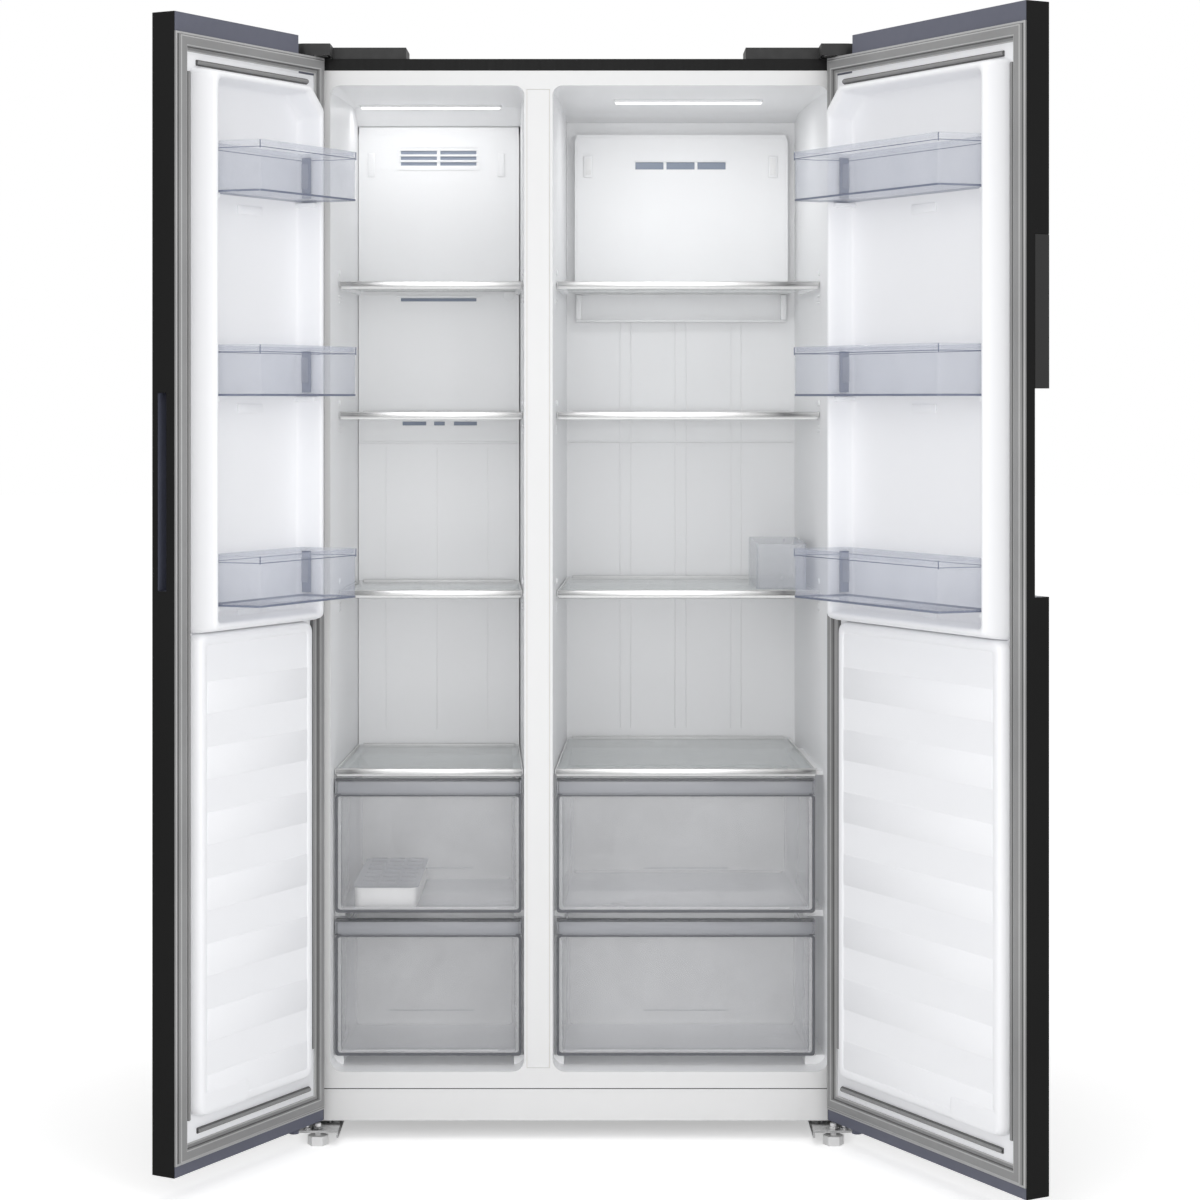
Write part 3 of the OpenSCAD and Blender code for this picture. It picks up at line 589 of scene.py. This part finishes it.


# ---- Shelves ----

# Painted reflection along each shelf bar: the stops give the bright and dark stretches the steel shows of its
# surroundings.
M["bar_freezer"] = bar_with_painted_reflection("bar_freezer", ((0.0, 176), (0.08, 140), (0.3, 236), (0.6, 240), (0.86, 178), (1.0, 190)),
                             CAB(-398, 0, 0).x, CAB(-86, 0, 0).x)
M["bar_fridge"] = bar_with_painted_reflection("bar_fridge", ((0.0, 172), (0.12, 180), (0.36, 236), (0.56, 240), (0.86, 128), (1.0, 205)),
                            CAB(-36, 0, 0).x, CAB(409, 0, 0).x)
DEPTHS = {"freezer": ((110, 396), (110, 396), (110, 396), (50, 392)),
          "fridge": ((110, 478), (110, 500), (110, 500), (50, 498))}
WALLS = {"freezer": (FREEZER_X, FREEZER_LEAN), "fridge": (FRIDGE_X, FRIDGE_LEAN)}


def shelf(side, i):
    """Glass plate in a white edging, with a bright steel bar along its front."""
    xs, leans = WALLS[side]
    top, (y0, y1) = SHELF_TOP[i], DEPTHS[side][i]
    gap = 1.3
    right = gap + (11 if side == "fridge" and i == 3 else 0)
    xl, xr = wall_x(xs, leans, 0, y0) + gap, wall_x(xs, leans, 1, y0) - right
    bl, br = wall_x(xs, leans, 0, y1) + gap, wall_x(xs, leans, 1, y1) - right
    name = f"{side}_shelf_{i + 1}"
    p = Piece(name + "_plate", name, CAB, "shelf_glass", ("white_lip", "bar_" + side, "slot_black"), (name,))
    p.prism([(xl + 0.6, y0 + 3), (xr - 0.6, y0 + 3), (br - 0.6, y1 - 0.2), (bl + 0.6, y1 - 0.2)], top - 6.4, top - 2.6,
            "z", 0, 0.5)
    p.block((xl, y0 + 1.0, top - 10.2), (xr, y0 + 5.9, top), 0.7, 1)
    p.block((xl + 2, y0 + 2.2, top - 14), (xr - 2, y0 + 13.9, top - 6.6), 1.0, 1)
    p.block((xl + 1.2, y0, top - 8.9), (xr - 1.2, y0 + 2.2, top - 1.1), 0.5, 2)
    for x0, x1 in ((xl, xl + 1.6), (xr - 1.6, xr)):
        p.block((x0, y0 + 0.2, top - 9.6), (x1, y0 + 4, top - 0.4), 0.4, 1)
    p.block((bl + 9, y1 - 7.9, top - 7), (br - 8, y1 - 0.6, top - 0.1), 1.2, 1)
    for a, b, n in (((xl + 0.1, y0 + 6), (bl + 0.1, y1 - 9), 1), ((xr - 3.1, y0 + 6), (br - 3.1, y1 - 9), -1)):
        p.prism([(a[0], a[1]), (a[0] + 3, a[1]), (b[0] + 3, b[1]), (b[0], b[1])], top - 6.45, top - 2.2, "z", 1, 0.5)
    p.done(30)


for side in ("freezer", "fridge"):
    for i in range(4):
        shelf(side, i)


# ---- Drawers ----

DRAWER_X = {"freezer_drawer": (-396.5, -89.5), "crisper": (-32.5, 393.0)}
DRAWER_Z = ((361.0, 580.0), (126.0, 349.0))
DRAWER_D = {"freezer_drawer": (315.0, 225.0), "crisper": (380.0, 228.0)}


def drawer(kind, i):
    """Clear tub behind a clear front with a dark moulded edge and a grey grip band along its top."""
    x0, x1 = DRAWER_X[kind]
    z0, z1 = DRAWER_Z[i]
    leans = FREEZER_LEAN if kind == "freezer_drawer" else FRIDGE_LEAN
    y1 = 40 + DRAWER_D[kind][i]
    run = (y1 - 46) / 505.0
    name = f"{kind}_{i + 1}"
    p = Piece(name + "_tub", name, CAB, "drawer_clear", ("drawer_edge", "white_lip"), (name,))

    def plan(o, h, y_in=0.0):
        pts = [(x0 + 7 + o, 46.2 + o), (x1 - 7 - o, 46.2 + o), (x1 - 7 - leans[1] * run - o, y1 - o),
               (x0 + 7 + leans[0] * run + o, y1 - o)]
        return [(x, y, h) for x, y in rounded(pts, (5, 5, 16, 16), 4)]

    low, rim = z0 + 1.2, z1 - 26.2
    p.loft([plan(9, low), plan(4.5, low + 0.8), plan(2.2, low + 4), plan(1.4, low + 12), plan(1.2, rim - 52),
            plan(0.2, rim - 46), plan(0.05, rim - 0.8), plan(0.6, rim), plan(2.0, rim), plan(2.4, rim - 1),
            plan(2.6, rim - 4)], caps="low")
    p.block((x0 + 30, 60, low + 2.2), (x1 - 34 - leans[1] * run * 0.5, 61.6, low + 4.4), 0.5, 2)
    p.done(30)

    f = Piece(f"{kind}_front_{i + 1}_plate", name, CAB, "drawer_front", ("drawer_edge", "drawer_band", "drawer_clear"),
              (f"{kind}_front_{i + 1}",))
    zt = z1 - 25
    f.frame(rect(x0 + 0.3, x1 - 0.3, z0 + 0.2, zt, 6), rect(x0 + 4.6, x1 - 4.6, z0 + 4.6, zt - 2.4, 5), 40.1, 45.9, "y", 1)
    f.frame(rect(x0 + 4.8, x1 - 4.8, z0 + 4.8, zt - 2.4, 5), rect(x0 + 10, x1 - 10, z0 + 10, zt - 2.8, 5), 41.0, 42.4,
            "y", 3)
    f.pane(rect(x0 + 4.4, x1 - 4.4, z0 + 4.4, zt - 2.2, 5), 43.0, 0)
    f.block((x0 + 3.2, 43, zt - 0.4), (x1 - 3.2, 45.8, z1 - 3.1), 0.5, 2)
    f.block((x0 + 0.2, 40.1, z1 - 2.9), (x1 - 0.2, 61.8, z1 - 0.1), 0.9, 1)
    f.block((x0 + 3.2, 41.4, zt - 1.6), (x1 - 3.2, 43.2, zt + 1.4), 0.5, 2)
    for a, b, c in ((x0 + 0.2, x0 + 2.9, x0 + 10), (x1 - 2.9, x1 - 0.2, x1 - 10)):
        f.block((a, 40.2, zt + 0.4), (b, 59.8, z1 - 1), 0.5, 2)
        f.block((min(a, c), 40.2, zt + 0.2), (max(b, c), 41.8, zt + 2.0), 0.3, 1)
    line_z = z0 + 0.335 * (z1 - z0)
    mid = (x0 + x1) / 2 + (0 if kind == "crisper" else 5)
    f.block((mid - 69, 42.3, line_z - 0.5), (mid + 69, 42.7, line_z + 0.5), 0, 2)
    f.done(30)


for kind in ("freezer_drawer", "crisper"):
    for i in range(2):
        drawer(kind, i)


# ---- Ice box ----

def ice_box():
    p = Piece("ice_box_body", "ice_box", CAB, "ice_white", (), ("ice_box",))

    def level(o, z, r=14.0):
        return [(x, y, z) for x, y in rect(-366 + o, -262 - o, 52 + o, 332 - o, max(r - o, 3), 6)]

    p.loft([level(5, 364.9), level(2.2, 365.8), level(1.0, 369), level(0.2, 396), level(0.2, 399.6), level(2.2, 399.6),
            level(2.6, 371), level(5, 367.4)])
    p.done(30)
    q = Piece("ice_lid_cover", "ice_lid", CAB, "ice_clear", (), ("ice_lid",))
    q.loft([[(x, y, z) for x, y in rect(-368 + o, -260 - o, 50 + o, 334 - o, 15, 6)]
            for o, z in ((0.4, 400.5), (0.0, 401.2), (0.0, 402.4), (1.0, 403.3))])
    for i in range(3):
        for j in range(7):
            x, y = -357 + 31.5 * i, 64 + 38 * j
            q.loft([[(a, b, z) for a, b in rect(x + o, x + 28 - o, y + o, y + 32 - o, 5, 3)]
                    for o, z in ((0, 403.2), (0.8, 404.6), (2, 404.95))])
    q.done(30)


ice_box()


# ---- Inside the compartments ----

def air_panel_freezer():
    """Moulded cover over the cooler: grille, slots, step lines, clip tabs and a round cap."""
    p = Piece("freezer_air_panel", "cabinet", CAB, "white_plastic", ("grille_grey", "white_lip"), ())
    y = 397.9
    for i in range(3):
        for x in (-314, -244):
            z = 1620 + 10 * i
            p.block((x + 0.1, y + 1.6, z + 0.1), (x + 63.9, y + 2.6, z + 5.9), 0, 1)
            p.block((x - 1.2, y - 1.3, z + 6.2), (x + 65.2, y - 0.02, z + 9.2), 0.5, 0)
    p.frame(rect(-320, -174, 1612, 1656, 3), rect(-316.5, -177.5, 1616, 1652, 2), y - 1.2, y - 0.02, "y", 0)
    for x0, x1, z0, z1 in ((-313.9, -180.1, 1379.2, 1384.8), (-310.9, -269.1, 1159.2, 1165.8),
                           (-254.9, -236.1, 1159.2, 1165.8), (-219.9, -179.1, 1159.2, 1165.8)):
        p.block((x0, y + 1.8, z0), (x1, y + 2.6, z1), 0, 1)
    p.block((-322, y - 1.6, 1386.4), (-172, y - 0.02, 1389.4), 0.6, 0)
    p.block((-388, y - 1.0, 1391), (-105, y - 0.02, 1392.2), 0.3, 0)
    p.block((-388, y - 2.2, 1127), (-105, y - 0.02, 1131), 1.0, 0)
    p.block((-372, y - 2.4, 1600), (-360, y - 0.02, 1642), 1.1, 0)
    p.block((-142, y - 2.4, 1600), (-130, y - 0.02, 1642), 1.1, 0)
    p.rod((-123, y - 2.4, 1391), (-123, y - 0.02, 1391), 10, 32, 0, 0.8)
    p.rod((-123, y - 2.7, 1391), (-123, y - 2.3, 1391), 6, 32, 0, 0.2)
    for x in (-340, -250, -160):
        p.block((x - 0.9, y - 0.9, 620), (x + 0.9, y - 0.02, 1120), 0.4, 0)
    p.done(30)


def air_box_fridge():
    """Raised air outlet with its slot, clip tabs, recess below it and the ribs of the back wall."""
    p = Piece("fridge_air_box", "cabinet", CAB, "white_plastic", ("grille_grey", "white_lip"), ())
    y = 479.9
    p.block((103.2, y + 1.8, 1620.2), (265.8, y + 2.8, 1632.8), 0, 1)
    for x in (153.8, 209.8):
        p.block((x, y + 0.4, 1620), (x + 5.4, y + 2.0, 1633), 0.4, 0)
    p.block((101, y - 1.2, 1633.2), (268, y - 0.02, 1635.4), 0.5, 0)
    p.frame(rect(-2, 374, 1399, 1678, 12), rect(0, 372, 1401, 1676, 10), y - 0.8, y - 0.02, "y", 0)
    for x in (10, 343):
        p.block((x, y - 3.4, 1605), (x + 16, y - 0.02, 1644), 1.4, 0)
        p.block((x + 3, y - 3.8, 1609), (x + 13, y - 3.2, 1640), 0.2, 2)
    back = 504.9
    p.block((-4, back - 14, 1345), (376, back - 0.1, 1349), 1.6, 0)
    for x in (-4, 366):
        p.prism(rounded([(x, 1349), (x + 10, 1349), (x + 10, 1394), (x, 1394)], 3, 3), back - 16, back - 0.1, "y", 0, 1.0)
    for x0, x1 in ((76, 95), (175, 195), (276, 295)):
        for x in (x0, x1):
            p.block((x - 1, back - 1.2, 610), (x + 1, back - 0.05, 1344), 0.5, 0)
    p.block((-18, back - 1.8, 1127), (388, back - 0.05, 1130), 0.8, 0)
    p.done(30)


def wall_ribs():
    """Three-line grip ribs and stop bosses where the side walls carry each of the upper three shelves."""
    p = Piece("wall_ribs", "cabinet", CAB, "white_plastic", (), ())
    for side in ("freezer", "fridge"):
        xs, leans = WALLS[side]
        for top in SHELF_TOP[:3]:
            for s in (0, 1):
                sign = 1 if s == 0 else -1
                for k in range(3):
                    z = top - 24 - 6 * k
                    y0, y1 = 118, 150
                    a, b = wall_x(xs, leans, s, y0), wall_x(xs, leans, s, y1)
                    p.prism([(a - sign * 0.3, y0), (a + sign * 1.3, y0), (b + sign * 1.3, y1), (b - sign * 0.3, y1)],
                            z - 1.2, z + 1.2, "z", 0, 0.4)
                a = wall_x(xs, leans, s, 120)
                p.rod((a - sign * 0.3, 122, top + 14), (a + sign * 2.2, 122, top + 14), 5, 20, 0, 0.8)
    p.done(30)


def lamp_bezels():
    """Thin white bezels round the frosted strip lamps under both ceilings."""
    p = Piece("lamp_bezels", "cabinet", CAB, "white_plastic", (), ())
    z = 1716.6
    for x0, x1, y0, y1 in ((-375, -135, 296, 312), (66, 315, 215, 231)):
        p.frame(rect(x0 - 3, x1 + 3, y0 - 3, y1 + 3, 5), rect(x0 + 0.1, x1 - 0.1, y0 + 0.1, y1 - 0.1, 2), z - 4.2, z, "z", 0)
    p.done(30)


# ---- Outside of the cabinet ----

def cabinet_details():
    """Seams and screws on the front frame, covers and hinge brackets."""
    p = Piece("cabinet_details", "cabinet", CAB, "white_frame", ("slot_black", "screw_steel", "black_plastic"), ())
    p.block((-439.5, -0.04, 81.6), (439.5, 0.25, 82.9), 0, 1)
    for s in (-1, 1):
        p.rod((s * 329, 44, 1778.6), (s * 329, 44, 1779.0), 9.4, 32, 1)
        p.rod((s * 329, 44, 1778.8), (s * 329, 44, 1779.0), 6.4, 24, 2, 0.1)
        p.block((s * 329 - 4, 43.4, 1778.9), (s * 329 + 4, 44.6, 1779.02), 0, 1)
        p.rod((s * 435.7, -29.75, 25.6), (s * 435.7, -29.75, 28.4), 10.5, 28, 2, 0.5)
        p.rod((s * 417, -29.75, 26), (s * 417, -29.75, 29.4), 9.0, 6, 2, 0.4)
        for x in (-402, 402):
            p.rod((x, 12, 25.9), (x, 12, 28.6), 5.4, 20, 2, 0.5)
    p.done(30)


def scatter(name, body, finish_name, points, make, space, turn=None):
    """Repeats one small mesh at given places with a Geometry Nodes tree, then keeps the result as plain mesh."""
    unit_bm = bmesh.new()
    make(unit_bm)
    unit = bpy.data.meshes.new(name + "_unit")
    unit_bm.to_mesh(unit)
    unit_bm.free()
    unit_object = bpy.data.objects.new(name + "_unit", unit)
    cloud = bpy.data.meshes.new(name + "_points")
    cloud.from_pydata([tuple(space(*q)) for q in points], [], [])
    holder = bpy.data.objects.new(name + "_points", cloud)
    for made in (unit_object, holder):
        bpy.context.scene.collection.objects.link(made)
    tree = bpy.data.node_groups.new(name + "_repeat", "GeometryNodeTree")
    tree.interface.new_socket("Geometry", in_out="INPUT", socket_type="NodeSocketGeometry")
    part = tree.interface.new_socket("Repeated part", in_out="INPUT", socket_type="NodeSocketObject")
    size = tree.interface.new_socket("Size", in_out="INPUT", socket_type="NodeSocketFloat")
    seed = tree.interface.new_socket("Turn seed", in_out="INPUT", socket_type="NodeSocketInt")
    finish = tree.interface.new_socket("Finish", in_out="INPUT", socket_type="NodeSocketMaterial")
    tree.interface.new_socket("Geometry", in_out="OUTPUT", socket_type="NodeSocketGeometry")
    given, result = tree.nodes.new("NodeGroupInput"), tree.nodes.new("NodeGroupOutput")
    info = tree.nodes.new("GeometryNodeObjectInfo")
    spin = tree.nodes.new("FunctionNodeRandomValue")
    spin.data_type = "FLOAT_VECTOR"
    axis = Vector(turn or (0, 0, 1))
    spin.inputs["Min"].default_value = tuple(-0.6 * a for a in axis)
    spin.inputs["Max"].default_value = tuple(0.6 * a for a in axis)
    place = tree.nodes.new("GeometryNodeInstanceOnPoints")
    real = tree.nodes.new("GeometryNodeRealizeInstances")
    paint = tree.nodes.new("GeometryNodeSetMaterial")
    link = tree.links.new
    link(given.outputs["Geometry"], place.inputs["Points"])
    link(given.outputs["Repeated part"], info.inputs["Object"])
    link(given.outputs["Turn seed"], spin.inputs["Seed"])
    link(info.outputs["Geometry"], place.inputs["Instance"])
    link(spin.outputs["Value"], place.inputs["Rotation"])
    link(given.outputs["Size"], place.inputs["Scale"])
    link(place.outputs["Instances"], real.inputs["Geometry"])
    link(real.outputs["Geometry"], paint.inputs["Geometry"])
    link(given.outputs["Finish"], paint.inputs["Material"])
    link(paint.outputs["Geometry"], result.inputs["Geometry"])
    modifier = holder.modifiers.new("repeat", "NODES")
    modifier.node_group = tree
    modifier[part.identifier] = unit_object
    modifier[size.identifier] = 1.0
    modifier[seed.identifier] = 7
    modifier[finish.identifier] = M[finish_name]
    bpy.context.view_layer.update()
    graph = bpy.context.evaluated_depsgraph_get()
    data = bpy.data.meshes.new_from_object(holder.evaluated_get(graph), depsgraph=graph)
    made = bpy.data.objects.new(name, data)
    data.name = name
    bpy.context.scene.collection.objects.link(made)
    for old in (holder, unit_object):
        bpy.data.objects.remove(old)
    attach(made, body)
    return made


def screw_head(bm, out=(0, 1, 0), r=4.2):
    """Low domed screw head with a cross recess, facing along out."""
    out = Vector(out)
    side = out.orthogonal().normalized()
    up = out.cross(side)
    rings = []
    for h, q in ((0, r), (0.5, r), (1.1, r * 0.86), (1.35, r * 0.5), (1.4, r * 0.2)):
        rings.append([bm.verts.new((out * h + (side * math.cos(t) + up * math.sin(t)) * q) * MM)
                      for t in (2 * math.pi * k / 16 for k in range(16))])
    for a, b in zip(rings, rings[1:]):
        for i in range(16):
            bm.faces.new((a[i], a[(i + 1) % 16], b[(i + 1) % 16], b[i]))
    bm.faces.new(rings[0][::-1])
    bm.faces.new(rings[-1])
    for w, l in ((0.5, r * 0.55), (r * 0.55, 0.5)):
        lo, hi = side * -w + up * -l + out * 1.1, side * w + up * l + out * 1.45
        made = bmesh.ops.create_cube(bm, size=1.0)["verts"]
        for v in made:
            f = [(c + 0.5) for c in v.co]
            v.co = (side * (-w + 2 * w * f[0]) + up * (-l + 2 * l * f[1]) + out * (1.1 + 0.35 * f[2])) * MM
    bmesh.ops.recalc_face_normals(bm, faces=bm.faces[:])
    for f in bm.faces:
        f.smooth = False


def back_details():
    """Stamped ribs and a bezel round the control box on the back, and a raised grille on the machine cover."""
    p = Piece("back_ribs", "cabinet", CAB, "zinc_sheet", ("compressor_black", "grey_plastic"), ())
    for z in (520, 700, 820, 1000, 1120, 1300):
        p.block((-300, 591.2, z - 3), (300, 592 - 0.05, z + 3), 0.35, 0)
    p.frame(rect(146, 334, 1346, 1504, 6), rect(152, 328, 1352, 1498, 4), 591.0, 591.95, "y", 2)
    p.done(30)
    g = Piece("machine_cover_ribs", "cabinet", CAB, "black_plastic", (), ())
    for x in range(-388, 400, 70):
        g.block((x - 1.2, 591.0, 70), (x + 1.2, 591.95, 262), 0.3, 0)
    for z in (60, 272):
        g.block((-440, 590.9, z - 2), (440, 591.95, z + 2), 0.4, 0)
    g.done(30)


air_panel_freezer()
air_box_fridge()
wall_ribs()
lamp_bezels()
cabinet_details()
back_details()
back_screws = [(x, 590.5, z) for x in (-446, 446) for z in range(340, 1750, 200)]
back_screws += [(x, 590.5, 1752) for x in range(-400, 401, 160)]
back_screws += [(x, 590.5, z) for x in (-430, -215, 0, 215, 430) for z in (44, 288)]
scatter("back_screws", "cabinet", "screw_steel", back_screws, lambda bm: screw_head(bm, (0, 1, 0), 3.6), CAB, (0, 1, 0))
hinge_screws = [(s * x, y, 1764.4) for s in (-1, 1) for x, y in ((320, 30), (320, 58), (352, 44), (392, 44))]
scatter("hinge_screws", "cabinet", "screw_steel", hinge_screws, lambda bm: screw_head(bm, (0, 0, 1), 4.6), CAB, (0, 0, 1))


# ---- Stage, light and camera ----

def stage_floor():
    """A plain pale floor that runs far past the object."""
    n = Nodes("studio_floor")
    n.feed(Base_Color=n.blend(n.span(n.noise(0.7), 0, 1), (0.955, 0.955, 0.955, 1), (0.965, 0.965, 0.965, 1)),
           Roughness=0.9)
    n.shader.inputs["Specular IOR Level"].default_value = 0.0
    n.feed(Emission_Color=(1, 1, 1, 1))
    seen = n.add("ShaderNodeLightPath").outputs["Is Camera Ray"]
    n.feed(Emission_Strength=n.span(seen, 0.0, 0.42, 0.0, 1.0))
    data = bpy.data.meshes.new("studio_floor")
    data.from_pydata([(-30, -30, 0), (30, -30, 0), (30, 30, 0), (-30, 30, 0)], [], [(0, 1, 2, 3)])
    data.materials.append(n.material)
    floor = bpy.data.objects.new("studio_floor", data)
    bpy.context.scene.collection.objects.link(floor)


def softbox(name, at, toward, size, power):
    data = bpy.data.lights.new(name, "AREA")
    data.shape, data.size, data.size_y, data.energy = "RECTANGLE", size[0], size[1], power
    made = bpy.data.objects.new(name, data)
    made.location = at
    made.rotation_euler = (Vector(toward) - Vector(at)).to_track_quat("-Z", "Y").to_euler()
    bpy.context.scene.collection.objects.link(made)
    return made


def stage_world():
    """White to the camera, to mirrors and through glass; a softer white for everything it lights."""
    world = bpy.data.worlds.new("studio")
    bpy.context.scene.world = world
    world.use_nodes = True
    tree = world.node_tree
    back = tree.nodes["Background"]
    back.inputs["Color"].default_value = (1, 1, 1, 1)
    path = tree.nodes.new("ShaderNodeLightPath")
    seen = tree.nodes.new("ShaderNodeMath")
    seen.operation = "MAXIMUM"
    tree.links.new(path.outputs["Is Camera Ray"], seen.inputs[0])
    tree.links.new(path.outputs["Is Transmission Ray"], seen.inputs[1])
    both = tree.nodes.new("ShaderNodeMath")
    both.operation = "MAXIMUM"
    tree.links.new(seen.outputs[0], both.inputs[0])
    tree.links.new(path.outputs["Is Glossy Ray"], both.inputs[1])
    level = tree.nodes.new("ShaderNodeMapRange")
    level.inputs["To Min"].default_value = 0.66
    level.inputs["To Max"].default_value = 1.0
    tree.links.new(both.outputs[0], level.inputs["Value"])
    tree.links.new(level.outputs[0], back.inputs["Strength"])


stage_floor()
stage_world()
softbox("key", (-0.6, -5.2, 2.3), (0, 0.2, 0.9), (2.6, 2.6), 40.0)
softbox("fill", (2.4, -4.6, 1.4), (0, 0.2, 0.9), (2.0, 2.4), 18.0)
softbox("top", (0.0, -0.6, 4.2), (0, 0.0, 0.0), (3.0, 3.0), 26.0)
between = softbox("between_doors", (0.0, -1.15, 0.95), (0, 0.4, 0.9), (0.7, 1.5), 2.4)
between.visible_camera = False

for name, x, y, power in (("freezer_lamp", -255, 304, 0.12), ("fridge_lamp", 190, 223, 0.36)):
    at = CAB(x, y, 1709)
    softbox(name, at, at + Vector((0, 0.05, -1)), (0.24, 0.016), power)

scene = bpy.context.scene
scene.view_settings.view_transform = "Standard"
camera_data = bpy.data.cameras.new("camera")
camera_data.lens = 82.6
camera_data.sensor_width = 36.0
camera_data.shift_y = -200 / 1200
camera = bpy.data.objects.new("camera", camera_data)
camera.location = (0.008, -4.5432, 1.2042)
camera.rotation_euler = (math.radians(90), 0, 0)
scene.collection.objects.link(camera)
scene.camera = camera
